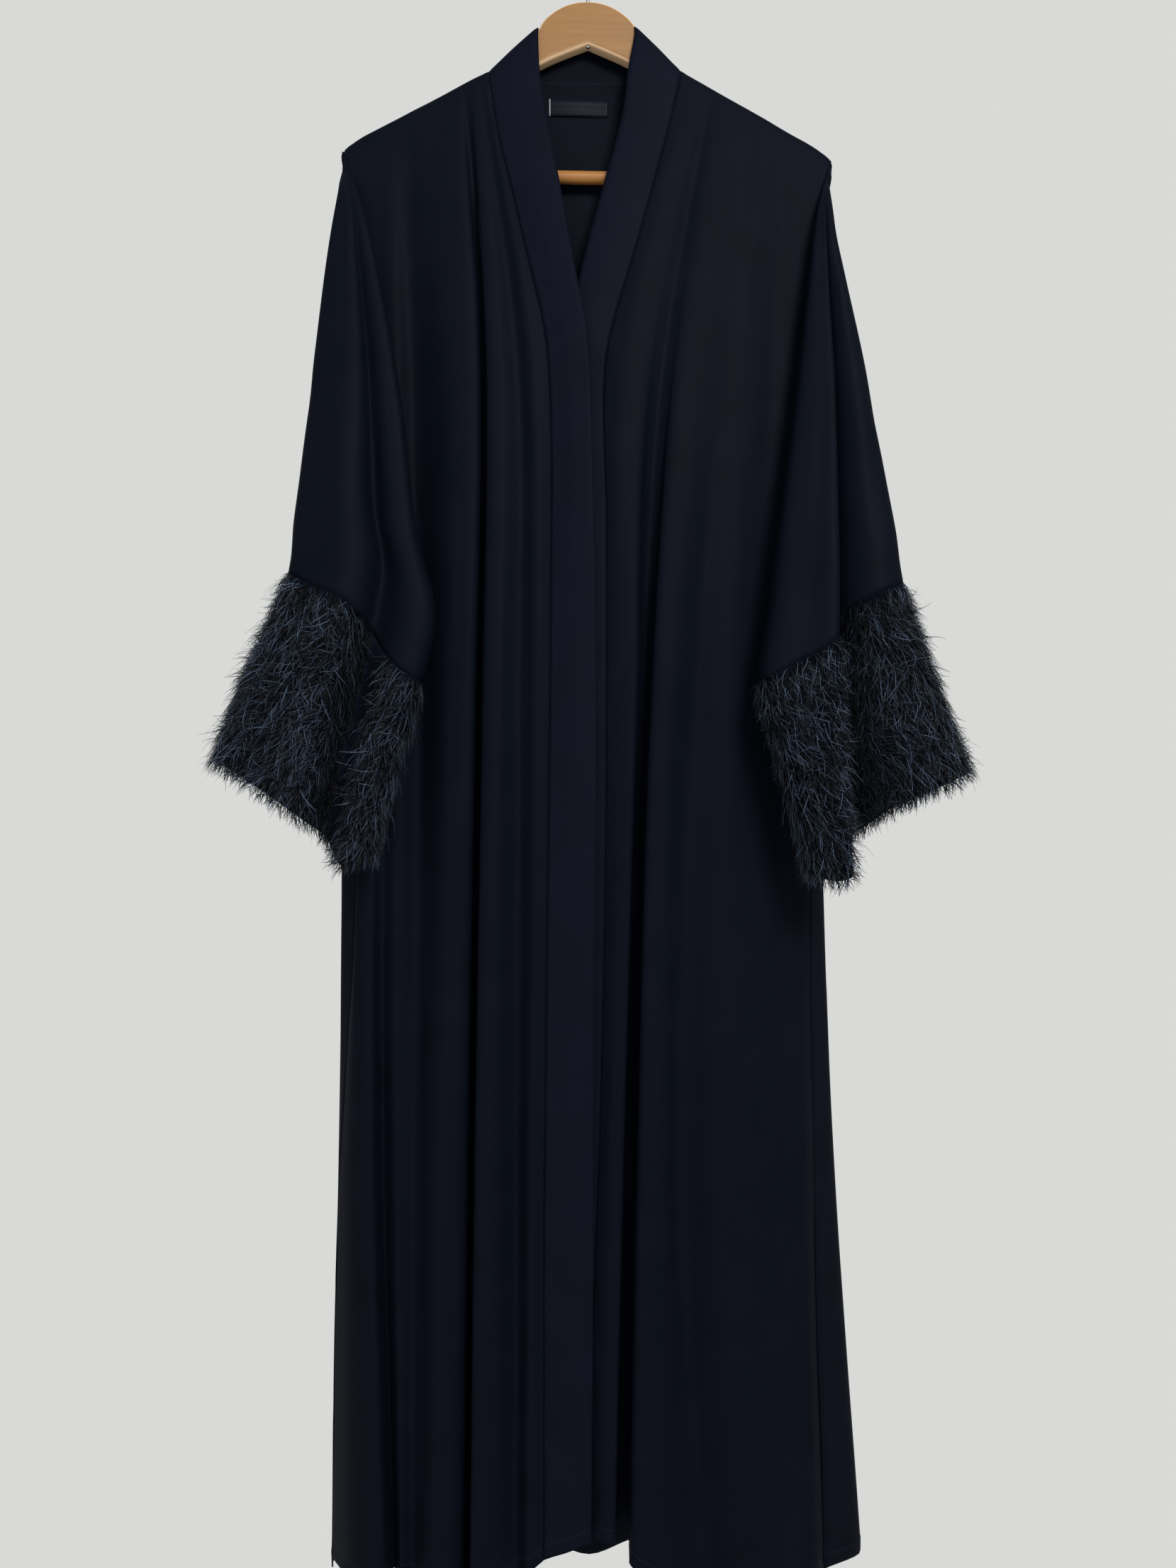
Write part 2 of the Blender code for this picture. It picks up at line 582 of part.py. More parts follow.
def sleeve_ring(side, section, face):
    """One section of a sleeve, from its seam round the inner edge, the face and the outer edge to its seam."""
    name, z_out, z_in, z_seam, x_out, x_in, x_seam, y_middle, half, share = section
    outer = Vector((side * x_out, y_middle, z_out))
    inner = Vector((side * x_in, y_middle, z_in))
    if x_seam > 0 and name != "underarm":
        start = Vector((side * x_seam, y_middle + half, z_seam))
        end = start.copy()
    elif name == "underarm":
        table = LEFT_SIDE if side < 0 else RIGHT_SIDE
        start = Vector((side * x_seam, read(table, z_seam, 2) - 0.0020, z_seam))
        end = start.copy()
    else:
        start, end = armhole_points(side, z_seam)
    ring = [start]
    for _, across in SLEEVE_BACK_INNER:
        point = inner.lerp(start, across * 1.6)
        point.y = y_middle + half
        ring.append(point)
    ring.append(inner)
    for _, out, roundness, relief, drop in face:
        point = inner.lerp(outer, out)
        point.z = z_in + (z_out - z_in) * drop
        point.y = y_middle - half * roundness - relief * share
        ring.append(point)
    ring.append(outer)
    if end.y > y_middle + half + 0.002:
        ring.append(outer.lerp(end, 0.30) + Vector((side * 0.0030, 0.0, 0.0)))
        ring.append(outer.lerp(end, 0.66) + Vector((side * 0.0030, 0.0, 0.0)))
    else:
        for _, out, roundness in SLEEVE_BACK_OUTER:
            point = outer.lerp(end, (1 - out) * 2.5)
            point.y = y_middle + half * roundness
            ring.append(point)
    ring.append(end)
    return ring


def add_sleeve(part, materials, side, name, sections, face):
    """A sleeve and its cuff, parted at the cuff's seam, and the fringe on the cuff."""
    rings = [sleeve_ring(side, section, face) for section in sections]
    rings.insert(0, sleeve_head(side, len(rings[0])))
    rows = between(rings, STEPS)
    for row in rows[1: STEPS * UNDERARM_RING]:
        row[0] = armhole_points(side, row[0].z)[0]
        row[-1] = armhole_points(side, row[-1].z)[1]
    for row in rows[STEPS * UNDERARM_RING:]:
        row[0] = row[-1] = row[0].lerp(row[-1], 0.5)
    rows = [through(row, STEPS) for row in rows]
    cut = STEPS * CUFF_RING
    sleeve = rows[: cut + 1]
    cuff = rows[cut:]
    gap = SEAM_GAP * 2.0
    sleeve[-1] = [a + (b - a).normalized() * gap for a, b in zip(sleeve[-1], sleeve[-2])]
    cuff[0] = [a + (b - a).normalized() * gap for a, b in zip(cuff[0], cuff[1])]
    if side > 0:
        sleeve = [row[::-1] for row in sleeve]
        cuff = [row[::-1] for row in cuff]
    add_wall(part, "sleeve_" + name, sleeve, materials["crepe"])
    add_wall(part, "cuff_" + name, cuff, materials["crepe"], CUFF_CLOTH)
    for number, share in enumerate(FRINGE_ROWS, 1):
        add_fringe(part, materials, "fringe_%s_%d" % (name, number), cuff, share, number)


def cuff_point(cuff, share):
    """The ring at a share of the way down the cuff, on its own columns."""
    place = share * (len(cuff) - 1)
    upper = min(int(place), len(cuff) - 2)
    return [a.lerp(b, place - upper) for a, b in zip(cuff[upper], cuff[upper + 1])]


def ring_normals(ring, lower):
    """Outward directions round a closed ring, with its downward ones."""
    count = len(ring) - 1
    normals = []
    downs = []
    for k in range(count):
        tangent = ring[(k + 1) % count] - ring[k - 1]
        down = (lower[k] - ring[k]).normalized()
        normals.append(tangent.cross(down).normalized())
        downs.append(down)
    middle = sum((ring[k] for k in range(count)), Vector()) / count
    facing = sum(n.dot(ring[k] - middle) for k, n in enumerate(normals))
    if facing < 0:
        normals = [-n for n in normals]
    return normals, downs


def add_fringe(part, materials, name, cuff, share, number):
    """One row of fringe: a narrow strip round the cuff, with a tapered lock under each of its spans."""
    ring = cuff_point(cuff, share)
    length = (cuff[-1][0] - cuff[0][0]).length
    lower = cuff_point(cuff, share + STRIP_HEIGHT / length)
    normals, downs = ring_normals(ring, lower)
    count = len(normals)
    near = CUFF_CLOTH / 2 + STRIP_GAP
    far = near + STRIP_THICKNESS
    shape = bmesh.new()
    loops = []
    for points, out in ((ring, near), (ring, far), (lower, far), (lower, near)):
        loops.append([shape.verts.new(points[k] + normals[k] * out) for k in range(count)])
    for a, b in ((loops[0], loops[1]), (loops[1], loops[2]), (loops[3], loops[0])):
        for k in range(count):
            n = (k + 1) % count
            shape.faces.new((a[k], a[n], b[n], b[k]))
    for k in range(count):
        n = (k + 1) % count
        root = [loops[3][k], loops[3][n], loops[2][n], loops[2][k]]
        add_lock(shape, root, (normals[k] + normals[n]).normalized(), downs[k], k, number)
    bmesh.ops.recalc_face_normals(shape, faces=shape.faces)
    mesh = bpy.data.meshes.new(name)
    shape.to_mesh(mesh)
    shape.free()
    return add_object(part, name, mesh, materials["fringe_thread"])


def add_lock(shape, root, out, down, k, number):
    """A lock of fringe: its root is a face of the strip, its middle is narrow and stands off, its tip is a point."""
    crowded = max(0.0, out.y)
    spread = LOCK_SPREAD * (1 - 0.93 * min(1.0, crowded * 1.5)) * (0.85 + 0.15 * cos(k * 2.4 + number))
    length = LOCK_LENGTH * (0.92 + 0.08 * sin(k * 1.7 + number * 2.1))
    centre = sum((v.co for v in root), Vector()) / 4
    across = (root[1].co - root[0].co).normalized()
    belly = centre + down * length * 0.45 + out * (0.0008 + spread * 0.55)
    half_width = (root[1].co - root[0].co).length * 0.30
    half_depth = 0.0006 + spread * 0.09
    ring = [
        belly - across * half_width - out * half_depth,
        belly + across * half_width - out * half_depth,
        belly + across * half_width + out * half_depth,
        belly - across * half_width + out * half_depth,
    ]
    middle = [shape.verts.new(p) for p in ring]
    tip = shape.verts.new(centre + down * length + out * (0.0008 + spread))
    for i in range(4):
        j = (i + 1) % 4
        shape.faces.new((root[i], root[j], middle[j], middle[i]))
        shape.faces.new((middle[i], middle[j], tip))


def add_label(part, materials, back):
    """The woven label inside the back neck, made from the back panel's points and moved off its wall."""
    graph = bpy.context.evaluated_depsgraph_get()
    panel = BVHTree.FromObject(back, graph)
    columns, rows = 4, 2
    net = []
    for j in range(rows + 1):
        line = []
        for i in range(columns + 1):
            x = LABEL_LEFT + LABEL_WIDTH * i / columns
            z = LABEL_TOP - LABEL_HEIGHT * j / rows
            hit = panel.ray_cast(Vector((x, 0.0, z)), Vector((0, 1, 0)))[0]
            line.append(Vector((x, hit.y - SEAM_GAP - 0.0002 - LABEL_THICKNESS / 2, z)))
        net.append(line)
    return add_wall(part, "label", net, materials["woven_label"], LABEL_THICKNESS)


def hanger_outline():
    """The board's outline: its right half along the underside and back along the top, then the left half."""
    right = [Vector((x, z)) for x, z in HANGER_UNDERSIDE]
    tip = HANGER_HALF
    right.append(Vector((tip, top_height(tip) - HANGER_SEAT - 0.0040)))
    right.append(Vector((tip - 0.0030, top_height(tip - 0.0030) - HANGER_SEAT)))
    for x, z in reversed(TOP_LINE[:-1]):
        right.append(Vector((x, z - HANGER_SEAT)))
    edge_x, edge_z = right[-1]
    rise = HUMP_TOP - edge_z
    radius = (edge_x * edge_x + rise * rise) / (2 * rise)
    for share in (0.8, 0.6, 0.4, 0.2):
        x = edge_x * share
        right.append(Vector((x, HUMP_TOP - radius + sqrt(radius * radius - x * x))))
    top = Vector((0.0, HUMP_TOP))
    left = [Vector((-p.x, p.y)) for p in reversed(right[1:])]
    return right + [top] + left


def add_hanger_board(part, materials):
    """The hanger's shaped board: a flat outline drawn out to its thickness, with rounded edges."""
    curve = bpy.data.curves.new("hanger_arms", "CURVE")
    curve.dimensions = "2D"
    curve.fill_mode = "BOTH"
    curve.extrude = BOARD / 2
    outline = hanger_outline()
    line = curve.splines.new("POLY")
    line.points.add(len(outline) - 1)
    for point, place in zip(line.points, outline):
        point.co = (place.x, place.y, 0.0, 1.0)
    line.use_cyclic_u = True
    flat = bpy.data.objects.new("hanger_outline", curve)
    part.objects.link(flat)
    flat.rotation_euler = (pi / 2, 0, 0)
    bpy.context.view_layer.update()
    graph = bpy.context.evaluated_depsgraph_get()
    mesh = bpy.data.meshes.new_from_object(flat.evaluated_get(graph))
    mesh.transform(flat.matrix_world)
    bpy.data.objects.remove(flat)
    shape = bmesh.new()
    shape.from_mesh(mesh)
    bmesh.ops.remove_doubles(shape, verts=shape.verts, dist=1e-6)
    bmesh.ops.dissolve_limit(shape, angle_limit=radians(1), verts=shape.verts, edges=shape.edges)
    bmesh.ops.recalc_face_normals(shape, faces=shape.faces)
    shape.to_mesh(mesh)
    shape.free()
    mesh.materials.clear()
    board = add_object(part, "hanger_arms", mesh, materials["beech"])
    edges = board.modifiers.new("rounded_edges", "BEVEL")
    edges.width = 0.0035
    edges.segments = 2
    edges.limit_method = "ANGLE"
    edges.angle_limit = radians(50)
    return board


def add_bar(part, materials):
    """The round bar between the hanger's ends."""
    half = HANGER_UNDERSIDE[4][0] - SEAM_GAP
    bpy.ops.mesh.primitive_cylinder_add(
        vertices=20,
        radius=BAR_RADIUS,
        depth=2 * half,
        location=(0, 0, BAR_HEIGHT),
        rotation=(0, pi / 2, 0),
    )
    bar = bpy.context.object
    bar.name = "hanger_bar"
    for holder in list(bar.users_collection):
        holder.objects.unlink(bar)
    part.objects.link(bar)
    bar.data.materials.append(materials["beech"])
    return bar


def add_hook(part, materials):
    """The wire hook: a stem from the hump, a bend, and an open turn round the peg that holds it."""
    radius = HOOK_INNER_RADIUS + WIRE_RADIUS
    centre = Vector((0.0, 0.0, -HOOK_INNER_RADIUS))
    points = [
        Vector((0.0, 0.0, HUMP_TOP + SEAM_GAP)),
        Vector((0.0, 0.0, -0.0580)),
        Vector((0.0010, 0.0, -0.0520)),
        Vector((0.0050, 0.0, -0.0462)),
    ]
    turns = 16
    for k in range(turns + 1):
        angle = radians(-55 + 250 * k / turns)
        points.append(centre + Vector((cos(angle), 0, sin(angle))) * radius)
    curve = bpy.data.curves.new("hanger_hook", "CURVE")
    curve.dimensions = "3D"
    curve.bevel_depth = WIRE_RADIUS
    curve.bevel_resolution = 2
    curve.use_fill_caps = True
    line = curve.splines.new("POLY")
    line.points.add(len(points) - 1)
    for point, place in zip(line.points, points):
        point.co = (*place, 1.0)
    hook = bpy.data.objects.new("hanger_hook", curve)
    curve.materials.append(materials["steel_wire"])
    part.objects.link(hook)
    return hook


part = clear_scene()
materials = make_materials()
add_hanger_board(part, materials)
add_bar(part, materials)
add_hook(part, materials)
back = add_body(part, materials)
add_neck_band(part, materials)
add_label(part, materials, back)
add_sleeve(part, materials, -1, "left", LEFT_SLEEVE, LEFT_SLEEVE_FACE)
add_sleeve(part, materials, 1, "right", RIGHT_SLEEVE, RIGHT_SLEEVE_FACE)
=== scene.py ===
from math import cos, exp, pi, radians, sin, sqrt
from random import Random

import bmesh
import bpy
from mathutils import Matrix, Vector, noise


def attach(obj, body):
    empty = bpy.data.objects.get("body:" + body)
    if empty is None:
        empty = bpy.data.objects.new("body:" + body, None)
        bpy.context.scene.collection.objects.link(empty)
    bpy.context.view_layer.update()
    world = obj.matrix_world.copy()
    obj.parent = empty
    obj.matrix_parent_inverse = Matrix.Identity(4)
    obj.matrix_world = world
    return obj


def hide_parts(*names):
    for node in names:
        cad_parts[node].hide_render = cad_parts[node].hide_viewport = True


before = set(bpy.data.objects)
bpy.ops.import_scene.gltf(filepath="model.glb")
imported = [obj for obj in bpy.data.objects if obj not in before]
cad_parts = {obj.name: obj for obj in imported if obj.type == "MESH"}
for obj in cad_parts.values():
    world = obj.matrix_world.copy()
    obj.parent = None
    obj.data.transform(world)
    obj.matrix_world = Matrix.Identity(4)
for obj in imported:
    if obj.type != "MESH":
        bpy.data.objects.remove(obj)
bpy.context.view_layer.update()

# --------------------
# The hanger's board: one piece of beech, sawn to a bow with a round hump in the middle, its edges routed round and
# its faces sanded and lacquered. The bar's ends are glued into its two drops, and everything else hangs on it.
# Tables are in millimetres and all else in metres. +Z is up, the front faces -Y, left and right are the viewer's, and
# the origin is the inside top of the hook.


def metres(rows, shares=0):
    """Turns a table in millimetres to metres. Its words stay, and so do the shares at the end of each row."""
    return [
        [v if isinstance(v, str) or i >= len(row) - shares else round(v / 1000, 7) for i, v in enumerate(row)]
        for row in rows
    ]


BOARD_THICKNESS, BOARD_ROUNDING = 0.014, 0.0035
BOARD_UNDERSIDE = metres((
    # across, height, from the middle to the tip
    (0, -110), (45, -130), (100, -168), (170, -211), (181.8, -224), (181.8, -243), (200, -247), (214, -241),
    (222.5, -225),
))
BOARD_TOP = metres((
    # across, height, from the tip to the hump's crown
    (222.5, -214.5), (219.5, -209.5), (215, -206.4), (90, -137.9), (72.5, -122.9), (48, -98), (44.5, -91.2),
    (39, -84.6), (31, -78.3), (21, -73), (10.5, -70), (0, -69),
))
SHARP = radians(60)
GRAIN_LENGTH, GRAIN_WIDTH = 0.09, 0.004
PORE_LENGTH, PORE_WIDTH = 0.003, 0.0006


def linear(code):
    """Turns an sRGB hex colour to linear values."""
    channels = [int(code[i:i + 2], 16) / 255 for i in (1, 3, 5)]
    return (*[c / 12.92 if c <= 0.04045 else ((c + 0.055) / 1.055) ** 2.4 for c in channels], 1.0)


def fill(socket, value):
    """Sets a socket to a value, or links it to another node's output, or to the first output of a node."""
    if isinstance(value, bpy.types.Node):
        value = value.outputs[0]
    if isinstance(value, bpy.types.NodeSocket):
        socket.id_data.links.new(value, socket)
    else:
        socket.default_value = value


def add_node(material, kind, inputs=None, **settings):
    """Adds a shader node to a material, with its settings, and fills its inputs."""
    node = material.node_tree.nodes.new("ShaderNode" + kind)
    for name, value in settings.items():
        setattr(node, name, value)
    for name, value in (inputs or {}).items():
        fill(node.inputs[name], value)
    return node


def mixed(material, mask, colour, over):
    """A colour laid over another by a mask."""
    return add_node(material, "Mix", {0: mask, 6: colour, 7: linear(over)}, data_type="RGBA").outputs[2]


def new_material(name, slot=None):
    """A material with the standard surface shader, which remembers the record's slot of its pieces."""
    material = bpy.data.materials.new(name)
    material.use_nodes = True
    if slot:
        material["slot"] = slot
    return material


def finish(material, **inputs):
    """Fills the inputs of a material's surface shader."""
    for name, value in inputs.items():
        fill(material.node_tree.nodes["Principled BSDF"].inputs[name.replace("_", " ")], value)
    return material


def wood(name, light, dark, edge):
    """Lacquered beech: straight grain along X with short dark pores. Where its faces turn from the front and back, on
    rims, top and underside, it takes the edge colour: painted light, which on the board stands for light bounced up
    from below.
    """
    material = new_material(name, "beech")
    place = add_node(material, "TexCoord").outputs["Object"]
    grain_place = add_node(material, "Mapping", {"Vector": place, "Scale": (1 / GRAIN_LENGTH, *[1 / GRAIN_WIDTH] * 2)})
    grain = add_node(material, "TexNoise", {"Vector": grain_place, "Scale": 1.0, "Detail": 3.0})
    pore_place = add_node(material, "Mapping", {"Vector": place, "Scale": (1 / PORE_LENGTH, *[1 / PORE_WIDTH] * 2)})
    pores = add_node(material, "TexNoise", {"Vector": pore_place, "Scale": 0.5, "Detail": 1.0})
    pore_mask = add_node(material, "MapRange", {"Value": pores, "From Min": 0.6, "From Max": 0.75})
    grain_mask = add_node(material, "MapRange", {"Value": grain, "From Min": 0.35, "From Max": 0.65})
    # painted light: faces that turn from the front and back take the edge colour, up to three quarters of it
    turned = add_node(material, "SeparateXYZ", {0: add_node(material, "NewGeometry").outputs["Normal"]})
    flat = add_node(material, "Math", {0: turned.outputs["Y"]}, operation="ABSOLUTE")
    lit_edge_mask = add_node(material, "MapRange", {"Value": flat, "From Min": 0.97, "From Max": 0.8, "To Max": 0.75})
    colour = linear(light)
    for mask, over in ((grain_mask, dark), (pore_mask, dark), (lit_edge_mask, edge)):
        colour = mixed(material, mask, colour, over)
    bump = add_node(material, "Bump", {"Height": pores, "Strength": 0.1, "Distance": 0.0003})
    return finish(
        material, Base_Color=colour, Roughness=0.45, Normal=bump, Specular_IOR_Level=0.25, Coat_Weight=0.04,
        Coat_Roughness=0.25,
    )


def smooth_line(points, steps):
    """Points on a smooth curve through the given ones, with even steps between each two of them."""
    first = points[0] * 2 - points[1]
    last = points[-1] * 2 - points[-2]
    padded = [first, *points, last]
    curve = [points[0].copy()]
    for p0, p1, p2, p3 in zip(padded, padded[1:], padded[2:], padded[3:]):
        t0 = 0.0
        t1 = t0 + max(sqrt((p1 - p0).length), 1e-4)
        t2 = t1 + max(sqrt((p2 - p1).length), 1e-4)
        t3 = t2 + max(sqrt((p3 - p2).length), 1e-4)
        for k in range(1, steps + 1):
            t = t1 + (t2 - t1) * k / steps
            a1 = p0.lerp(p1, (t - t0) / (t1 - t0))
            a2 = p1.lerp(p2, (t - t1) / (t2 - t1))
            a3 = p2.lerp(p3, (t - t2) / (t3 - t2))
            b1 = a1.lerp(a2, (t - t0) / (t2 - t0))
            b2 = a2.lerp(a3, (t - t1) / (t3 - t1))
            curve.append(b1.lerp(b2, (t - t1) / (t2 - t1)))
    return curve


def add_object(name, data):
    """Adds an object to the scene."""
    thing = bpy.data.objects.new(name, data)
    bpy.context.scene.collection.objects.link(thing)
    return thing


def made_mesh(name, shape, material):
    """A mesh from a bmesh, with its material."""
    mesh = bpy.data.meshes.new(name)
    shape.to_mesh(mesh)
    shape.free()
    mesh.materials.append(material)
    return mesh


def place_piece(name, data, node=None):
    """Puts a mesh or curve in the scene as a piece that rides on the part and stands for its CAD node."""
    piece = add_object(name, data)
    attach(piece, "root")
    if node:
        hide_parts(node)
    return piece


def add_piece(name, shape, material, node=None):
    """Makes a piece, smooth to look at, from a bmesh."""
    mesh = made_mesh(name, shape, material)
    mesh.polygons.foreach_set("use_smooth", [True] * len(mesh.polygons))
    return place_piece(name, mesh, node)


half_outline = []
for corners, steps in (
    (BOARD_UNDERSIDE[:4], 6), (BOARD_UNDERSIDE[4:6], 1), (BOARD_UNDERSIDE[6:] + BOARD_TOP[:3], 4), (BOARD_TOP[3:], 4),
):
    half_outline += smooth_line([Vector((x, -BOARD_THICKNESS / 2, z)) for x, z in corners], steps)
board = bmesh.new()
outline = [board.verts.new(p) for p in half_outline]
outline += [board.verts.new(Vector((-p.x, p.y, p.z))) for p in reversed(half_outline[1:-1])]
face = board.faces.new(outline)
drawn_out = bmesh.ops.extrude_face_region(board, geom=[face])
back_face = [v for v in drawn_out["geom"] if isinstance(v, bmesh.types.BMVert)]
bmesh.ops.translate(board, verts=back_face, vec=(0.0, BOARD_THICKNESS, 0.0))
bmesh.ops.recalc_face_normals(board, faces=board.faces)
rims = [
    e for e in board.edges
    if len(e.link_faces) == 2 and e.calc_face_angle(0.0) > SHARP and abs(e.verts[0].co.y - e.verts[1].co.y) < 1e-6
]
bmesh.ops.bevel(board, geom=rims, offset=BOARD_ROUNDING, segments=4, profile=0.5, affect="EDGES", material=-1)
# its last colour is the painted light on the board's rims, top and underside
board_beech = wood("lacquered_beech", "#7A572D", "#73512A", "#C4A684")
hanger_board = add_piece("hanger_board", board, board_beech, "hanger_arms")
for side_face in hanger_board.data.polygons:
    if abs(side_face.normal.y) > 0.99:
        side_face.use_smooth = False
hanger_board.modifiers.new("flat_faces", "EDGE_SPLIT").split_angle = SHARP

# --------------------
# The trouser bar: a turned beech dowel, glued between the board's two drops. It has had more lacquer than the
# board, so it is a warmer orange.
BAR_RADIUS, BAR_HEIGHT, BAR_LENGTH = 0.006, -0.234, 0.363

bar = bmesh.new()
bmesh.ops.create_cone(bar, cap_ends=True, segments=40, radius1=BAR_RADIUS, radius2=BAR_RADIUS, depth=BAR_LENGTH)
bmesh.ops.rotate(bar, verts=bar.verts, matrix=Matrix.Rotation(pi / 2, 3, "Y"))
bmesh.ops.translate(bar, verts=bar.verts, vec=(0.0, 0.0, BAR_HEIGHT))
trouser_bar = add_piece("trouser_bar", bar, wood("turned_beech", "#8C5E2C", "#805427", "#85592A"), "hanger_bar")
trouser_bar.modifiers.new("sawn_ends", "EDGE_SPLIT").split_angle = SHARP

# --------------------
# The hook: steel wire, nickel plated, bent to an open turn and screwed into the hump. It carries the whole part.
WIRE_RADIUS, HOOK_INNER_RADIUS, HUMP_TOP = 0.0019, 0.02, -0.069
WIRE_FOOT = ((0.0, HUMP_TOP - 0.002), (0.0, -0.058), (0.001, -0.052), (0.005, -0.0462))
BEND_START, BEND, BEND_STEPS = -55, 250, 16
WIRE_CLOUD = 0.0015
STEM_RADIUS, STEM_END_RADIUS, STEM_END_LENGTH, STEM_END_PLACE = 0.0016, 0.0012, 0.0016, (0.0, -0.002, -0.1105)

# nickel plate on drawn wire: a bright grey mirror, slightly clouded
nickel = new_material("plated_steel_wire", "steel_wire")
wire_place = add_node(nickel, "TexCoord").outputs["Object"]
drawn = add_node(nickel, "TexNoise", {"Vector": wire_place, "Scale": 1 / WIRE_CLOUD, "Detail": 2.0})
wire_gloss = add_node(nickel, "MapRange", {"Value": drawn, "To Min": 0.22, "To Max": 0.36})
finish(nickel, Base_Color=linear("#A9AAAC"), Roughness=wire_gloss, Metallic=1.0)

wire_line = [Vector((x, 0.0, z)) for x, z in WIRE_FOOT]
bend_middle = Vector((0.0, 0.0, HOOK_INNER_RADIUS))
for k in range(BEND_STEPS + 1):
    angle = radians(BEND_START + BEND * k / BEND_STEPS)
    wire_line.append(Vector((cos(angle), 0.0, sin(angle))) * (HOOK_INNER_RADIUS + WIRE_RADIUS) - bend_middle)
bent = bpy.data.curves.new("hook_wire", "CURVE")
bent.dimensions = "3D"
bent.bevel_depth = WIRE_RADIUS
bent.bevel_resolution = 5
bent.use_fill_caps = True
bent_line = bent.splines.new("POLY")
wire_points = smooth_line(wire_line, 4)
bent_line.points.add(len(wire_points) - 1)
for point, place in zip(bent_line.points, wire_points):
    point.co = (*place, 1.0)
bent_line.use_smooth = True
bent.materials.append(nickel)
place_piece("hook_wire", bent, "hanger_hook")

# the stem's riveted end, which shows in the board's notch
stem_tip = bmesh.new()
bmesh.ops.create_cone(
    stem_tip, cap_ends=True, segments=20, radius1=STEM_RADIUS, radius2=STEM_END_RADIUS, depth=STEM_END_LENGTH
)
bmesh.ops.translate(stem_tip, verts=stem_tip.verts, vec=STEM_END_PLACE)
add_piece("stem_end", stem_tip, nickel)

# --------------------
# The back: one panel of black crepe, from shoulder to hem and from side seam to side seam, cut out round the back
# neck. It rolls over the board's top edge, where it is sewn to the fronts, and falls in soft flutes to a turned hem.
CLOTH, HEM_TURN, STITCH = 0.0014, 0.0125, 0.0026
YARN_CRINKLE, RUBBED_PATCH = 0.0011, 0.045
RIPPLE_WIDTH, RIPPLE_DEPTH, RIPPLE_HEIGHT = 0.035, 0.05, 0.11
CHEST, HIP, KNEE, HEM, BACK_HEM = -0.42, -0.75, -1.15, -1.55, -1.556
TOP_LINE = metres((
    # distance from the middle, height of the cloth where it crosses the board
    (40, -88.5), (45.5, -93), (72.5, -120.5), (90, -135.5), (215, -204), (231, -216),
))
ROLL = metres((
    # out from the middle plane, down from the top line
    (0, 0), (5.6, 0.4), (9, 3.6), (10.2, 10),
))
LEFT_SIDE = metres((
    # height, across, depth of the front's edge, depth of the back's edge: the armhole, then the side seam
    (-226, -229.2, -10.2, 10.2), (-300, -222.5, -10, 10), (-380, -219.5, -8, 8), (-450, -225, -4, -1.2),
    (-620, -226, -5, -2.2), (-900, -217, -12, -12), (-1045, -225, -11, -11), (-1152, -233, -6, -6),
    (-1300, -239, 0, 0), (-1555, -243, 4, 4),
))
RIGHT_SIDE = metres((
    (-226, 230.5, -10.2, 10.2), (-300, 221.5, -10, 10), (-380, 217.5, -8, 8), (-450, 221, -4, -1.2),
    (-620, 219, -5, -2.2), (-942, 211, -12, -12), (-1193, 214, -14, -14), (-1340, 216.5, -15, -15),
    (-1465, 221, -15, -15), (-1560, 223, -15, -15),
))
BACK_FOLDS = metres((
    # name, across at the top, chest, hip, knee and hem, depth at the chest, hip, knee and hem
    ("left_turn", -222, -215, -231, -235.5, -243.5, 10.5, 6, 6, 14),
    ("ridge_1", -205, -200, -205, -210, -218, 15, 21, 28, 36),
    ("valley_1", -175, -165, -168, -172, -178, 11, 11, 12, 13),
    ("ridge_2", -140, -128, -128, -130, -136, 15, 22, 32, 40),
    ("valley_2", -100.5, -92, -90, -92, -96, 12, 12, 12, 13),
    ("neck_left", -92, -66, -66, -67, -70, 18, 20, 25, 30),
    ("ridge_3", -55, -42, -42, -42, -44, 18, 24, 31, 38),
    ("valley_3", -5, -2, 0, 2, 2, 13, 13, 14, 15),
    ("ridge_4", 50, 40, 42, 46, 50, 18, 24, 31, 38),
    ("neck_right", 85.5, 66, 66, 70, 76, 18, 20, 25, 30),
    ("valley_4", 94, 90, 88, 94, 102, 12, 12, 12, 13),
    ("ridge_5", 138, 128, 128, 136, 150, 15, 22, 32, 40),
    ("valley_5", 172, 162, 164, 178, 196, 11, 11, 12, 13),
    ("ridge_6", 203, 198, 200, 216, 238, 15, 20, 28, 34),
    ("right_turn", 222, 212, 221.5, 236.5, 264.5, 10.5, 5, 8, 11),
))
NECK_DEPTH = 0.0125
NECK_SEAM = metres(((-94.5, -146), (0, -150.5), (88, -143)))
BACK_CREASES = metres((
    # across and height of the top, across and height of the foot, half width, relief: a trough is below zero
    ("left_blade", -150, -215, -118, -420, 10, -1.6),
    ("left_blade_ridge", -128, -230, -100, -400, 12, 1.2),
    ("right_blade", 146, -212, 110, -390, 11, -1.5),
    ("right_blade_ridge", 170, -240, 140, -470, 12, 1.3),
    ("left_flute", -60, -520, -88, -1020, 12, -1.8),
    ("middle_flute", 22, -440, 16, -900, 14, 1.6),
    ("right_flute", 118, -640, 104, -1180, 12, -1.7),
    ("low_left_break", -190, -1080, -150, -1440, 13, 1.8),
    ("low_middle_break", -20, -1120, -30, -1500, 11, -1.6),
    ("low_right_break", 190, -1160, 214, -1520, 13, -1.8),
))


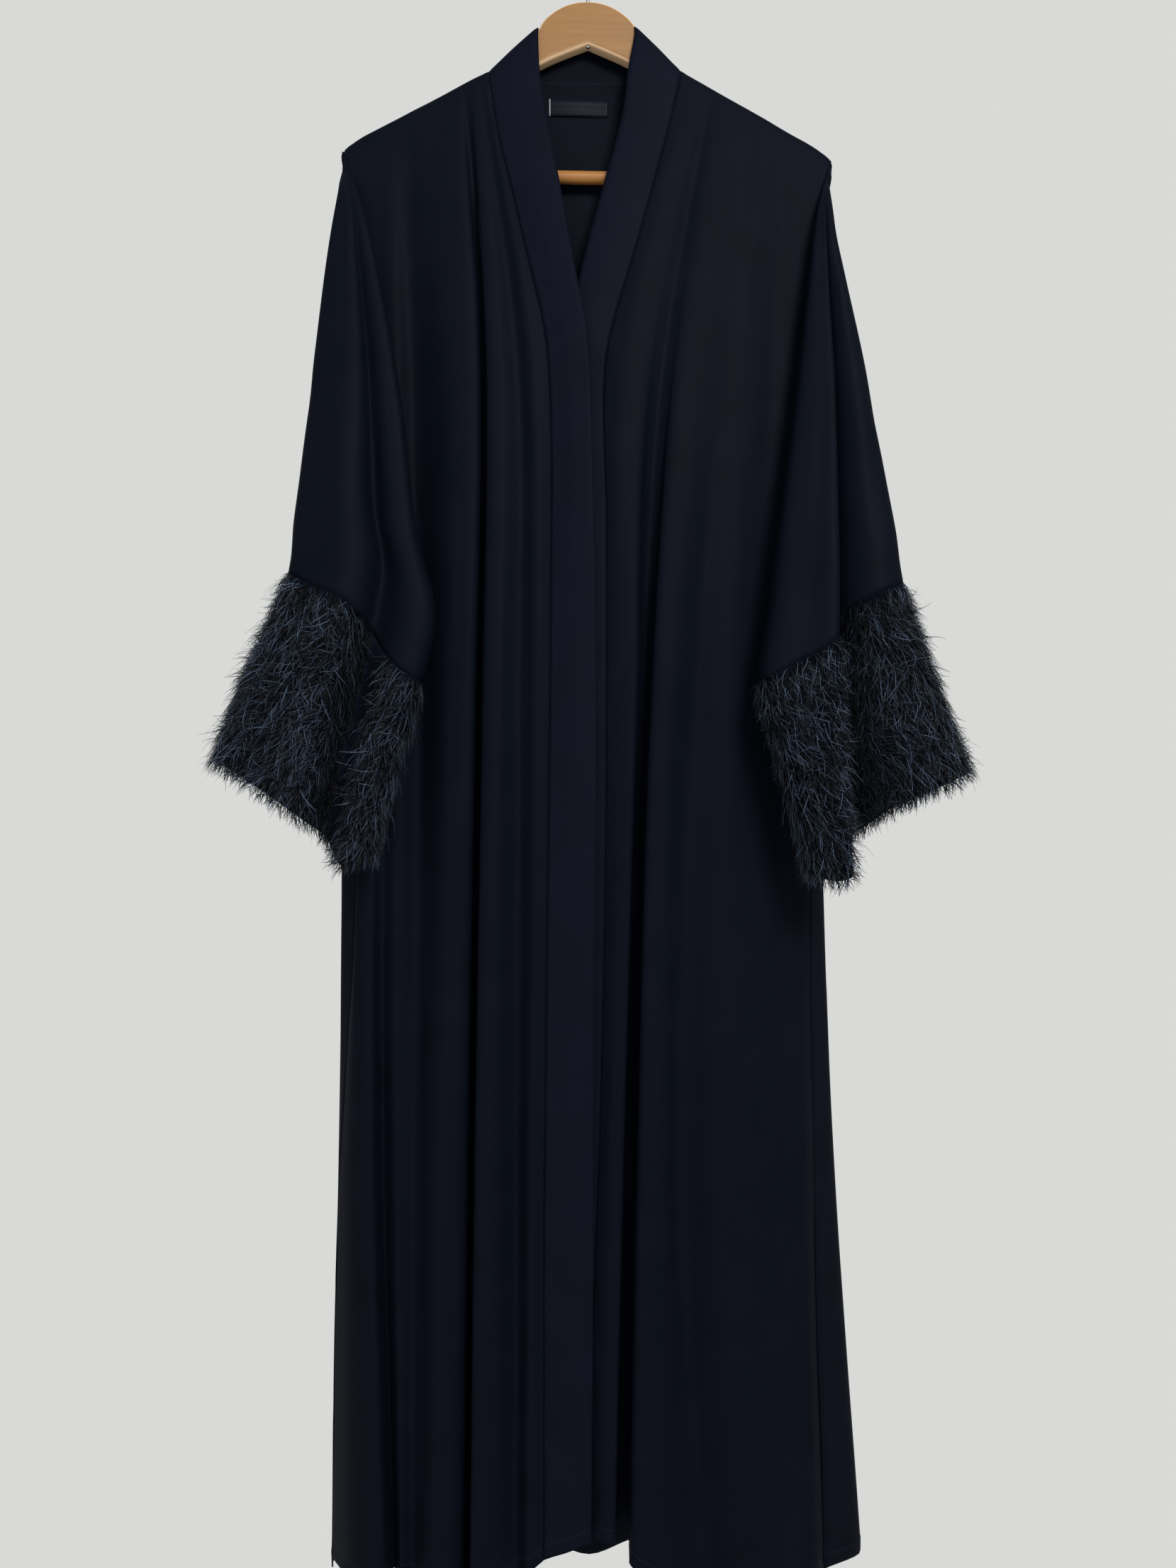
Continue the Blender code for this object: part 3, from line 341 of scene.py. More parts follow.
def read(rows, height, column=1):
    """Reads a column of a table at a height, on a smooth curve through its rows, which run downwards."""
    if height >= rows[0][0]:
        return rows[0][column]
    if height <= rows[-1][0]:
        return rows[-1][column]
    slopes = [(b[column] - a[column]) / (b[0] - a[0]) for a, b in zip(rows, rows[1:])]
    for i, (a, b) in enumerate(zip(rows, rows[1:])):
        if height >= b[0]:
            break
    before = slopes[i - 1] if i > 0 else slopes[i]
    after = slopes[i + 1] if i + 1 < len(slopes) else slopes[i]
    start, end = (before + slopes[i]) / 2, (after + slopes[i]) / 2
    span = b[0] - a[0]
    t = (height - a[0]) / span
    return (
        a[column] * (1 + 2 * t) * (1 - t) ** 2 + b[column] * t * t * (3 - 2 * t)
        + span * start * t * (1 - t) ** 2 - span * end * t * t * (1 - t)
    )


def along(rows, x):
    """Reads a height from (across, height) rows by straight runs."""
    if x <= rows[0][0]:
        return rows[0][1]
    for (x0, z0), (x1, z1) in zip(rows, rows[1:]):
        if x <= x1:
            return z0 + (z1 - z0) * (x - x0) / (x1 - x0)
    return rows[-1][1]


def top_height(x):
    """Height of the cloth where it crosses the board, with the table's corners rubbed off."""
    return sum(along(TOP_LINE, abs(x) + step) for step in (-0.003, 0.0, 0.003)) / 3


roll_curve = [(p.x, p.y) for p in smooth_line([Vector((out, down, 0.0)) for out, down in ROLL], 3)]
# shares of the way down to the hem, closer together at the hem's stitches
hang_shares = [k / 96 for k in range(1, 94)] + [1 - k * 0.0025 for k in range(11, -1, -1)]


def rolled(x, side):
    """Points of one column from the top line over the board's edge, to the front (-1) or the back (1)."""
    return [Vector((x, side * out, top_height(x) - down)) for out, down in roll_curve]


def hang(top_points, hem, across, depth):
    """One column of a panel: its roll, then its points down to the hem."""
    start = top_points[-1].z
    heights = [start + (hem - start) * share for share in hang_shares]
    return top_points + [Vector((across(z), depth(z), z)) for z in heights]


def fold_line(fold, top_points, hem):
    """A column along one fold of a panel."""
    name, top, chest, hip, knee, low, y_chest, y_hip, y_knee, y_low = fold
    start = top_points[-1]
    rows = (
        (start.z, top, start.y), (CHEST, chest, y_chest), (HIP, hip, y_hip), (KNEE, knee, y_knee), (HEM, low, y_low),
    )
    return hang(top_points, hem, lambda z: read(rows, z), lambda z: read(rows, z, 2))


def seated(rows, side):
    """Lifts the points of the roll that a curve has left inside the board's rounded top edge."""
    for row, (out, down) in zip(rows, roll_curve):
        for point in row:
            point.y = side * max(side * point.y, out)
            if abs(point.y) < ROLL[-1][0]:
                point.z = max(point.z, top_height(point.x) - along(ROLL, abs(point.y)))
    return rows


def crease_relief(point, creases):
    """How far the listed creases raise the cloth at a point."""
    relief = 0.0
    for name, top_x, top_z, foot_x, foot_z, half_width, depth in creases:
        run_x, run_z = foot_x - top_x, foot_z - top_z
        length = sqrt(run_x * run_x + run_z * run_z)
        place = ((point.x - top_x) * run_x + (point.z - top_z) * run_z) / (length * length)
        if -0.1 < place < 1.1:
            off = ((point.x - top_x) * run_z - (point.z - top_z) * run_x) / length
            off += 0.12 * half_width * sin(place * 9.0)
            fade = max(0.0, min(1.0, 3.0 * (place + 0.1))) * max(0.0, min(1.0, 2.4 * (1.1 - place)))
            relief += depth * exp(-((off / (half_width * (0.8 + 0.5 * place))) ** 2)) * fade
    return relief


def sewn_sheet(name, rows, outward, creases, material, node, edges=None, wall=CLOTH, ripple=0.0004):
    """A sheet of cloth through rows of points, with its creases and its edges' puckers raised, and a thin wall.

    outward tells for a point which way is out. edges gives a relief from the distances to the sheet's edges.
    The cloth map runs in metres: across from the sheet's first column, and up from its last row.
    """
    across, down = len(rows[0]) - 1, len(rows) - 1
    shape = bmesh.new()
    bmesh.ops.create_grid(shape, x_segments=across, y_segments=down, size=0.5)
    cells = {}
    for vert in shape.verts:
        i, j = round((vert.co.x + 0.5) * across), round((0.5 - vert.co.y) * down)
        cells[i, j] = vert
        vert.co = rows[j][i]
    widths = [[0.0] for _ in rows]
    for j, row in enumerate(rows):
        for a, b in zip(row, row[1:]):
            widths[j].append(widths[j][-1] + (b - a).length)
    rises = [[0.0] * (down + 1) for _ in rows[0]]
    for i in range(across + 1):
        for j in range(down - 1, -1, -1):
            rises[i][j] = rises[i][j + 1] + (rows[j][i] - rows[j + 1][i]).length
    shape.normal_update()
    moves, places = {}, {}
    for (i, j), vert in cells.items():
        places[vert] = widths[j][i], rises[i][j]
        side = 1.0 if vert.normal.dot(outward(vert.co)) > 0 else -1.0
        relief = crease_relief(vert.co, creases)
        x, y, z = vert.co
        relief += ripple * noise.noise(Vector((x / RIPPLE_WIDTH, 7.3 + y / RIPPLE_DEPTH, z / RIPPLE_HEIGHT)))
        if edges:
            relief += edges(widths[j][i], widths[j][-1] - widths[j][i], rises[i][j], vert.co)
        moves[vert] = vert.normal * side * relief
    for vert, move in moves.items():
        vert.co += move
    cloth_map = shape.loops.layers.uv.new("cloth")
    for face in shape.faces:
        for loop in face.loops:
            loop[cloth_map].uv = places[loop.vert]
    piece = add_piece(name, shape, material, node)
    thickness = piece.modifiers.new("cloth_wall", "SOLIDIFY")
    thickness.thickness = wall
    thickness.offset = 0.0
    return piece


def crepe(name, slot, light, dark, stitch_row=None):
    """Black crepe: highly twisted yarns give a pebbly matt face with a faint bluish sheen. Its hem is topstitched."""
    material = new_material(name, slot)
    cloth = add_node(material, "UVMap", uv_map="cloth")
    place = add_node(material, "TexCoord").outputs["Object"]
    # the yarn's crinkle, really 0.4 mm, is drawn at 1.1 mm so that it shows in the render
    pebble = add_node(material, "TexNoise", {"Vector": cloth, "Scale": 1 / YARN_CRINKLE, "Detail": 2.0})
    # slight rubbing and dust, in hand-sized patches
    patches = add_node(material, "TexNoise", {"Vector": place, "Scale": 1 / RUBBED_PATCH, "Detail": 3.0})
    tone = add_node(material, "Math", {0: patches, 1: pebble}, operation="ADD")
    tone_mask = add_node(material, "MapRange", {"Value": tone, "From Min": 0.75, "From Max": 1.25})
    colour = mixed(material, tone_mask, linear(dark), light)
    height = pebble
    if stitch_row:
        # lockstitch, in a row at this height above the cloth map's edge
        split = add_node(material, "SeparateXYZ", {0: cloth})
        dash = add_node(material, "Math", {0: split.outputs["X"], 1: 2 * pi / STITCH}, operation="MULTIPLY")
        dash = add_node(material, "Math", {0: dash}, operation="SINE")
        dash = add_node(material, "MapRange", {"Value": dash, "From Min": -0.6, "From Max": 0.0})
        off = add_node(material, "Math", {0: split.outputs["Y"], 1: stitch_row}, operation="SUBTRACT")
        off = add_node(material, "Math", {0: off}, operation="ABSOLUTE")
        line = add_node(material, "MapRange", {"Value": off, "From Min": 0.0009, "From Max": 0.0003})
        stitches = add_node(material, "Math", {0: line, 1: dash}, operation="MULTIPLY")
        colour = mixed(material, stitches, colour, "#12151D")
        height = add_node(material, "Math", {0: height, 1: stitches}, operation="ADD")
    bump = add_node(material, "Bump", {"Height": height, "Strength": 0.35, "Distance": 0.0004})
    return finish(
        material, Base_Color=colour, Roughness=0.56, Normal=bump, Specular_IOR_Level=0.02, Sheen_Weight=0.004,
        Sheen_Roughness=0.45, Sheen_Tint=linear("#8FA2C8"),
    )


def bell(distance, reach):
    """1 at a line in the cloth, and falling off to its sides."""
    return exp(-((distance / reach) ** 2))


def hem_edges(left, right, up, point):
    """The turned and stitched hem: a shallow trough at its stitches, and a slight roll of the edge."""
    return -0.0005 * bell(up - HEM_TURN, 0.0022) + 0.0003 * bell(up, 0.004)


def edge_line(rows, side, hem):
    """A column along a band's edge, a seam or an armhole, on the front (-1) or the back (1)."""
    return hang(
        rolled(rows[0][1], side), hem, lambda z: read(rows, z), lambda z: read(rows, z, 2 if side < 0 else 3)
    )


def back_line(fold):
    """A back fold's column, which starts at the shoulder seam or at the neck seam."""
    x = fold[1]
    top_points = rolled(x, 1)
    if NECK_SEAM[0][0] < x < NECK_SEAM[-1][0]:
        top_points = [Vector((x, NECK_DEPTH, along(NECK_SEAM, x) - down)) for out, down in roll_curve]
    return fold_line(fold, top_points, BACK_HEM)


BACK_STEPS = 6
body_crepe = crepe("black_crepe", "crepe", "#080B14", "#060910", HEM_TURN)
back_columns = [edge_line(LEFT_SIDE, 1, BACK_HEM)]
back_columns += [back_line(fold) for fold in BACK_FOLDS]
back_columns.append(edge_line(RIGHT_SIDE, 1, BACK_HEM))
back_rows = seated([smooth_line(list(row), BACK_STEPS) for row in zip(*back_columns)], 1)
back_panel = sewn_sheet(
    "back_panel", back_rows, lambda point: Vector((0.0, 1.0, 0.0)), BACK_CREASES, body_crepe, "back", hem_edges
)

# --------------------
# The fronts and their bands: each front is one panel of the same crepe, from the shoulder to a turned hem, sewn to
# the sleeve, to the back down its side, and to a fused band, 55 mm wide, down its opening. The band is a double
# strip pressed flat, and its long seam draws the front into small puckers. The left one lies over the right one.
FRONT_HEM = metres((
    (-245, -1546), (-180, -1541), (-140, -1553), (-100, -1556), (-60, -1530), (-42, -1519), (0, -1502),
    (22, -1507), (45, -1535), (100, -1556), (265, -1558),
))
LEFT_BAND_INNER = metres((
    # height, across, depth
    (-105, -47.5, -11), (-142, -46, -14), (-195, -38, -19), (-241, -29, -23), (-334, -13, -31),
    (-392, -2, -35), (-500, 3, -39), (-800, 7, -44), (-1003, 4, -48), (-1260, 3, -52), (-1500, 1, -52),
))
LEFT_BAND_SEAM = metres((
    (-147, -93.5, -10.2), (-205, -84, -15), (-264, -70, -20), (-317, -58, -25), (-391, -41, -30),
    (-430, -37, -32), (-677, -36, -38), (-938, -39, -44), (-1260, -42, -48), (-1504, -42, -49),
))
RIGHT_BAND_SEAM = metres((
    (-143, 87, -10.2), (-191, 76, -13), (-229, 66, -16), (-287, 50, -20), (-332, 37, -23), (-379, 23, -25.5),
    (-415, 15.5, -27), (-570, 16, -30), (-855, 15, -34), (-1143, 9, -38), (-1265, 4, -40), (-1504, -2, -41),
))
RIGHT_BAND_INNER = metres((
    (-105, 44, -11), (-139, 37, -13), (-169, 34, -14.5), (-201, 27, -15.5), (-245, 15, -17.5),
    (-304, -1, -20), (-380, -18, -23), (-430, -25, -24), (-600, -25, -28), (-855, -26, -33),
    (-1265, -34, -39), (-1504, -38, -40),
))
LEFT_FRONT_FOLDS = metres((
    # name, across at the top, chest, hip, knee and hem, depth at the chest, hip, knee and hem
    ("pucker", -97.5, -55, -50, -54, -56, -34, -42, -49, -52),
    ("soft_valley", -101.5, -66, -65, -67, -68, -28, -34, -38, -40),
    ("proud_ridge", -106, -82, -83, -88, -92, -34, -45, -54, -58),
    ("ridge_edge", -110, -94.5, -97.5, -103.5, -107.5, -32.5, -42.5, -52.5, -57),
    ("turned_under", -112, -93, -95, -101, -105, -24, -26, -30, -32),
    ("tuck", -114.5, -97.5, -100.5, -107, -111, -13, -7, -5, -5),
    ("far_wall", -117, -101, -106, -112.5, -116.5, -16, -13, -13, -14),
    ("far_lip", -120, -103.5, -107.5, -113.5, -118.5, -24, -29, -36, -40),
    ("broad_ridge", -140, -128, -132, -136, -142, -24, -30, -42, -48),
    ("sleeve_valley", -166, -164, -159, -162, -164, -7, -5, -24, -28),
    ("plain", -185, -180, -180, -179, -173, -12.5, -15, -28, -34),
    ("strip_valley", -201, -192, -193, -192, -181, -11, -11, -18, -20),
    ("strip_edge", -211, -203, -203, -200, -188, -10, -13, -38, -46),
    ("strip_face", -222, -214, -214.5, -218, -216, -7, -10.5, -28, -34),
))
RIGHT_FRONT_FOLDS = metres((
    ("inner_ridge", 98, 35, 30, 20.5, 11, -30, -36, -44, -48),
    ("near_lip", 109, 56, 42.5, 30, 20.5, -27, -36, -44, -49),
    ("near_wall", 112, 62, 43.2, 30.8, 21.3, -23.5, -15, -13, -13),
    ("tuck", 117, 70, 51, 38.5, 29.5, -20.5, -6, -4, -4),
    ("far_wall", 121, 78, 59.2, 47, 39.3, -23.5, -15, -13, -13),
    ("ridge_edge", 125, 82, 57.8, 45.5, 37.8, -26.5, -35, -43.5, -49),
    ("face", 135, 100, 74, 64, 65, -27, -36, -44, -50),
    ("soft_valley", 147, 128, 98, 86, 105, -21, -25, -30, -34),
    ("broad_ridge", 162, 148, 128, 117, 134, -18, -26, -42, -50),
    ("broad_face", 178, 170, 158, 150, 166, -13.5, -16.5, -42, -50),
    ("mild_valley", 195, 187, 180, 181, 198, -11, -12, -30, -36),
    ("side_ridge", 213, 205, 199, 201, 213, -8, -12, -26, -30),
))
LEFT_FRONT_CREASES = metres((
    # across and height of the top, across and height of the foot, half width, relief
    ("shoulder_drag", -118, -170, -98, -340, 6, -1),
    ("shoulder_ridge", -160, -190, -140, -400, 10, 1.2),
    ("chest_trough", -178, -230, -162, -470, 8, -1.3),
    ("hip_break", -118, -560, -128, -900, 6, -0.9),
    ("proud_face_trough", -74, -640, -78, -1120, 5, -0.8),
    ("knee_break", -150, -980, -143, -1330, 7, 1.1),
    ("low_trough", -128, -1180, -132, -1520, 6, -1),
    ("band_side", -50, -860, -55, -1380, 4, 0.8),
))
RIGHT_FRONT_CREASES = metres((
    ("shoulder_drag", 112, -170, 82, -330, 7, -1.1),
    ("shoulder_ridge", 168, -195, 140, -430, 10, 1.2),
    ("chest_trough", 186, -240, 168, -520, 8, -1.3),
    ("hip_break", 112, -520, 98, -820, 7, -1.1),
    ("knee_break", 140, -900, 128, -1240, 8, 1.1),
    ("low_face", 80, -1060, 94, -1480, 8, -1.2),
    ("low_side", 170, -1120, 190, -1500, 9, 1.2),
    ("hem_break", 118, -1330, 124, -1530, 7, -1.2),
))
FRONT_STEPS = 7
BAND_WALL, BAND_CROWN = 0.0018, 0.001
PUCKER_PITCH, PUCKER_REACH, PUCKER_RISE, LOW_PUCKER_RISE = 0.017, 0.01, 0.0016, 0.003


def towards_viewer(point):
    """Out is towards the viewer."""
    return Vector((0.0, -1.0, 0.0))


def front_line(fold):
    """A front fold's column."""
    return fold_line(fold, rolled(fold[1], -1), along(FRONT_HEM, fold[5]))


def band_edges(left, right, up, point):
    """A pressed band: soft flat face, edges turned in, and a slight wave of its own."""
    wave = 0.0005 * noise.noise(Vector((point.x / 0.03, 1.7, point.z / 0.16)))
    return wave - 0.0006 * bell(min(left, right), 0.002)


def front_edges(band, side, up, point):
    """The seam of the band, which draws the cloth into small uneven gathers, the side seam's dip, and the hem."""
    beat = noise.noise(Vector((3.1, point.z / PUCKER_PITCH, 0.5 * band / PUCKER_PITCH)))
    rise = LOW_PUCKER_RISE if point.z < -1.0 else PUCKER_RISE
    gathers = rise * beat * bell(band, PUCKER_REACH) * min(1.0, band / 0.0015)
    return gathers - 0.0007 * bell(band, 0.0022) - 0.0006 * bell(side, 0.003) + hem_edges(band, side, up, point)


band_crepe = crepe("fused_band_crepe", "band_crepe", "#0A0C17", "#080A13", HEM_TURN)
for name, inner, seam, folds, side_rows, creases, front_cut, front_area, band_cut, band_area in (
    ("left", LEFT_BAND_INNER, LEFT_BAND_SEAM, LEFT_FRONT_FOLDS, LEFT_SIDE, LEFT_FRONT_CREASES,
     (0.36, 1.41), 0.36, (0.063, 1.42), 0.0612),
    ("right", RIGHT_BAND_INNER, RIGHT_BAND_SEAM, RIGHT_FRONT_FOLDS, RIGHT_SIDE, RIGHT_FRONT_CREASES,
     (0.33, 1.4), 0.34, (0.06, 1.44), 0.058),
):
    inner_line, seam_line, side_line = [
        edge_line(edge, -1, along(FRONT_HEM, edge[-1][1])) for edge in (inner, seam, side_rows)
    ]
    band_middle = [a.lerp(b, 0.5) - Vector((0.0, BAND_CROWN, 0.0)) for a, b in zip(inner_line, seam_line)]
    columns = [inner_line, band_middle, seam_line, *[front_line(fold) for fold in folds], side_line]
    rows = seated([smooth_line(list(row), FRONT_STEPS) for row in zip(*columns)], -1)
    cut = 2 * FRONT_STEPS
    band = sewn_sheet(
        name + "_band", [row[:cut + 1] for row in rows], towards_viewer, (), band_crepe, "band_" + name, band_edges,
        wall=BAND_WALL,
    )
    front = sewn_sheet(
        name + "_front", [row[cut:] for row in rows], towards_viewer, creases, body_crepe, "front_" + name, front_edges
    )

# --------------------
# The band's neck stretch: the same fused strip, carried over the board on both sides and sewn round the back neck.
# Its facing is stitched down 15 mm above the seam.
FACING_LINE, NECK_LAP = 0.015, 0.0025
NECK_MIDDLE = metres((
    # across at the seam, across and height of the top edge
    (-70.5, -35, -102.625), (-39, -19.6, -105.04), (-3, -2, -106), (33, 15.6, -105.04), (64.5, 31, -102.625),
))
neck_path = []
for seam, inner in ((LEFT_BAND_SEAM, LEFT_BAND_INNER), (RIGHT_BAND_SEAM, RIGHT_BAND_INNER)):
    seam_x, inner_x = seam[0][1], inner[0][1]
    lower, upper = [rolled(x, 1)[::3][:3] for x in (seam_x * 1.02, inner_x)]
    # behind the board both edges draw in towards the neck
    lower.append(Vector((seam_x * 0.985, 0.011, top_height(seam_x) - 0.0105)))
    upper.append(Vector((inner_x * 0.975, 0.0104, top_height(inner_x) - 0.0065)))
    neck_path.append(list(zip(lower, upper)))
neck_middle = [
    (Vector((foot_x, NECK_DEPTH, along(NECK_SEAM, foot_x) - NECK_LAP)), Vector((x, 0.0118, z)))
    for foot_x, x, z in NECK_MIDDLE
]
neck_path = neck_path[0] + neck_middle + neck_path[1][::-1]
neck_lower, neck_upper = [smooth_line(list(edge), 5) for edge in zip(*neck_path)]
neck_rows = [[upper.lerp(lower, k / 14) for lower, upper in zip(neck_lower, neck_upper)] for k in range(15)]


def facing_edges(left, right, up, point):
    """The dip of the facing's stitches and of the seam, and the folded top edge."""
    return -0.0006 * bell(up - FACING_LINE, 0.0015) - 0.0007 * bell(up, 0.002)


# the same crepe as the band, painted a step darker for the shade it lies in behind the board
shaded_neck_crepe = crepe("neck_band_crepe", "band_crepe", "#080A13", "#06080F", FACING_LINE)
neck_band = sewn_sheet(
    "neck_band", neck_rows, towards_viewer, (), shaded_neck_crepe, "band_neck", facing_edges, wall=BAND_WALL, ripple=0.0002
)

# --------------------
# The label: a strip of woven satin ribbon, its ends folded under and sewn to the back just below the neck seam. It is
# bare here. The fold at its left end shows the ribbon's paler inside.
LABEL_LEFT, LABEL_TOP, LABEL_LENGTH, LABEL_HEIGHT = -0.037, -0.1535, 0.057, 0.016
LABEL_FOLD, LABEL_GAP = 0.0012, 0.0012
LABEL_STEPS, LABEL_ROWS = 24, 6
WEFT_RIB = 0.00503

# polyester satin, woven: smooth, with a soft gloss across its weft. The weft yarns are too fine to show, so they are
# drawn as ribs 5 mm apart: a wave texture turns 20 radians to the metre at scale 1.
satin = new_material("woven_satin_ribbon", "woven_label")
satin_place = add_node(satin, "UVMap", uv_map="cloth")
weft = add_node(
    satin, "TexWave", {"Vector": satin_place, "Scale": 2 * pi / 20 / WEFT_RIB, "Distortion": 0.2}, bands_direction="Y"
)
satin_split = add_node(satin, "SeparateXYZ", {0: satin_place})
fold_mask = add_node(
    satin, "MapRange", {"Value": satin_split.outputs["X"], "From Min": LABEL_FOLD * 1.2, "From Max": LABEL_FOLD * 0.8}
)
satin_bump = add_node(satin, "Bump", {"Height": weft.outputs["Fac"], "Strength": 0.3, "Distance": 0.0002})
finish(
    satin, Base_Color=mixed(satin, fold_mask, linear("#0B0E17"), "#9BA0A6"), Roughness=0.42, Normal=satin_bump,
    Specular_IOR_Level=0.05,
)


def back_depth(x, z):
    """Depth of the back panel's inner face at a place, from its own points."""
    nearest = min((point for row in back_rows[8:24] for point in row), key=lambda p: (p.x - x) ** 2 + (p.z - z) ** 2)
    return nearest.y


label_rows = []
for j in range(LABEL_ROWS + 1):
    z = LABEL_TOP - LABEL_HEIGHT * j / LABEL_ROWS
    row = [Vector((LABEL_LEFT + LABEL_LENGTH * i / LABEL_STEPS, 0.0, z)) for i in range(LABEL_STEPS + 1)]
    for point in row:
        bow = 0.0004 * sin((point.x - LABEL_LEFT) * 90.0)
        point.y = back_depth(point.x, z) - CLOTH / 2 - LABEL_GAP - bow
    label_rows.append(row)
neck_label = sewn_sheet(
    "neck_label", label_rows, towards_viewer, (), satin, "label", wall=0.0006, ripple=0.0001
)

# --------------------
# The sleeves and cuffs: each sleeve is one piece of crepe sewn to a tube under the arm and set into the armhole over
# the board's tip. It hangs forwards, flat, with one deep crease down its face. The cuff is a flared piece sewn to
# its end, on which the fringe is mounted.
LEFT_SLEEVE = metres((
    # name, height of the outer edge, inner edge and seam, distance out of the outer edge, inner edge and seam,
    # depth of the middle, half depth, share of the folds, share of the fall at the hem
    ("high", -262, -275, -295, 232.6, 211, 0, -21.5, 5.5, 0.05, 0.0),
    ("chest", -335, -355, -375, 242, 192, 0, -29, 10, 0.25, 0.0),
    ("underarm", -425, -460, -454, 251.4, 173.5, 220, -35, 14, 0.5, 0.0),
    ("elbow", -530, -585, -550, 262.5, 158, 225, -42, 18, 0.8, 0.0),
    ("corner", -575, -657, -610, 267.3, 141.5, 226, -47, 21, 0.95, 0.0),
    ("cuff_seam", -622, -720, -660, 271.6, 153, 227, -50, 22, 1.0, 0.0),
    ("cuff_middle", -708, -795, -743, 305, 174.5, 248, -59, 25, 1.0, 0.5),
    ("cuff_hem", -791, -872, -825, 334, 193, 268, -64, 26, 1.0, 1.0),
), shares=2)
RIGHT_SLEEVE = metres((
    ("high", -262, -275, -295, 227.8, 215, 0, -21.5, 5.5, 0.05, 0.0),
    ("chest", -335, -355, -375, 238, 204, 0, -29, 10, 0.25, 0.0),
    ("underarm", -425, -460, -454, 255.5, 191, 222, -35, 14, 0.5, 0.0),
    ("elbow", -530, -585, -550, 272.7, 173.5, 227, -42, 18, 0.8, 0.0),
    ("corner", -580, -660, -610, 280.5, 163, 231, -47, 21, 0.95, 0.0),
    ("cuff_seam", -628, -718, -665, 286.8, 154.5, 235, -50, 22, 1.0, 0.0),
    ("cuff_middle", -714, -808, -753, 312, 177, 256, -59, 25, 1.0, 0.6),
    ("cuff_hem", -800, -892, -835, 343, 196, 280, -64, 26, 1.0, 1.0),
), shares=2)
UNDERARM_RING, CUFF_RING = 3, 6
HEAD_RADIUS, HEAD_TURN = 0.0114, radians(105)
LEFT_SLEEVE_FACE = (
    # name, share of the way out, roundness, relief, share of the drop, and share out and drop at the hem
    ("inner_face", 0.02, 0.85, 0.002, 0.02, 0.05, -0.06),
    ("inner_ridge", 0.18, 1.0, 0.002, 0.14, 0.17, -0.14),
    ("valley", 0.37, 1.0, -0.02, 0.47, 0.3, 0.16),
    ("lip", 0.46, 1.0, 0.0, 0.63, 0.42, 0.36),
    ("crest", 0.6, 1.0, 0.006, 0.76, 0.6, 0.6),
    ("outer_face", 0.81, 0.95, 0.0, 0.87, 0.81, 0.84),
    ("outer_turn", 0.97, 0.6, 0.0, 0.98, 0.97, 0.98),
)
RIGHT_SLEEVE_FACE = (
    ("inner_face", 0.04, 0.85, 0.0, 0.03, 0.03, -0.02),
    ("inner_ridge", 0.3, 1.0, 0.004, 0.22, 0.12, -0.06),
    ("crease_edge", 0.5, 1.0, 0.008, 0.41, 0.22, -0.02),
    ("valley", 0.525, 1.0, -0.03, 0.62, 0.25, 0.42),
    ("slope", 0.63, 1.0, -0.012, 0.77, 0.45, 0.6),
    ("outer_face", 0.8, 0.95, 0.0, 0.87, 0.72, 0.8),
    ("outer_turn", 0.97, 0.6, 0.0, 0.98, 0.97, 0.98),
)
LEFT_SLEEVE_CREASES = metres((
    # across and height of the top, across and height of the foot, half width, relief
    ("cap_drag", -232, -250, -222, -420, 6, -1.1),
    ("face_ridge", -212, -330, -200, -560, 8, 1.2),
    ("elbow_break", -258, -430, -236, -610, 7, -1.2),
    ("inner_drag", -186, -430, -165, -640, 6, -1),
))
RIGHT_SLEEVE_CREASES = metres((
    ("cap_drag", 234, -250, 226, -410, 6, -1.1),
    ("face_ridge", 214, -350, 196, -600, 8, 1.2),
    ("elbow_break", 262, -440, 258, -620, 7, -1.2),
    ("inner_drag", 205, -420, 180, -650, 6, -1),
))
RING_STEPS, SLEEVE_STEPS = 10, 5
SIDES = {-1: LEFT_SIDE, 1: RIGHT_SIDE}
ARMHOLE_OUT, ARMHOLE_FORWARD = 0.0012, 0.0034


def armhole_points(side, height):
    """The front and back edges of the sleeve at the armhole, just outside the body's panels."""
    x = read(SIDES[side], height) + side * ARMHOLE_OUT
    front, back = read(SIDES[side], height, 2) - ARMHOLE_FORWARD, read(SIDES[side], height, 3)
    return Vector((x, front, height)), Vector((x, back, height))


def sleeve_head(side, count):
    """The first ring of a sleeve, sewn over the board's tip."""
    x = side * TOP_LINE[-1][0]
    top = TOP_LINE[-1][1] + 0.0008
    turns = [HEAD_TURN * (2 * k / (count - 1) - 1) for k in range(count)]
    return [Vector((x, HEAD_RADIUS * sin(turn), top - HEAD_RADIUS * (1 - cos(turn)))) for turn in turns]


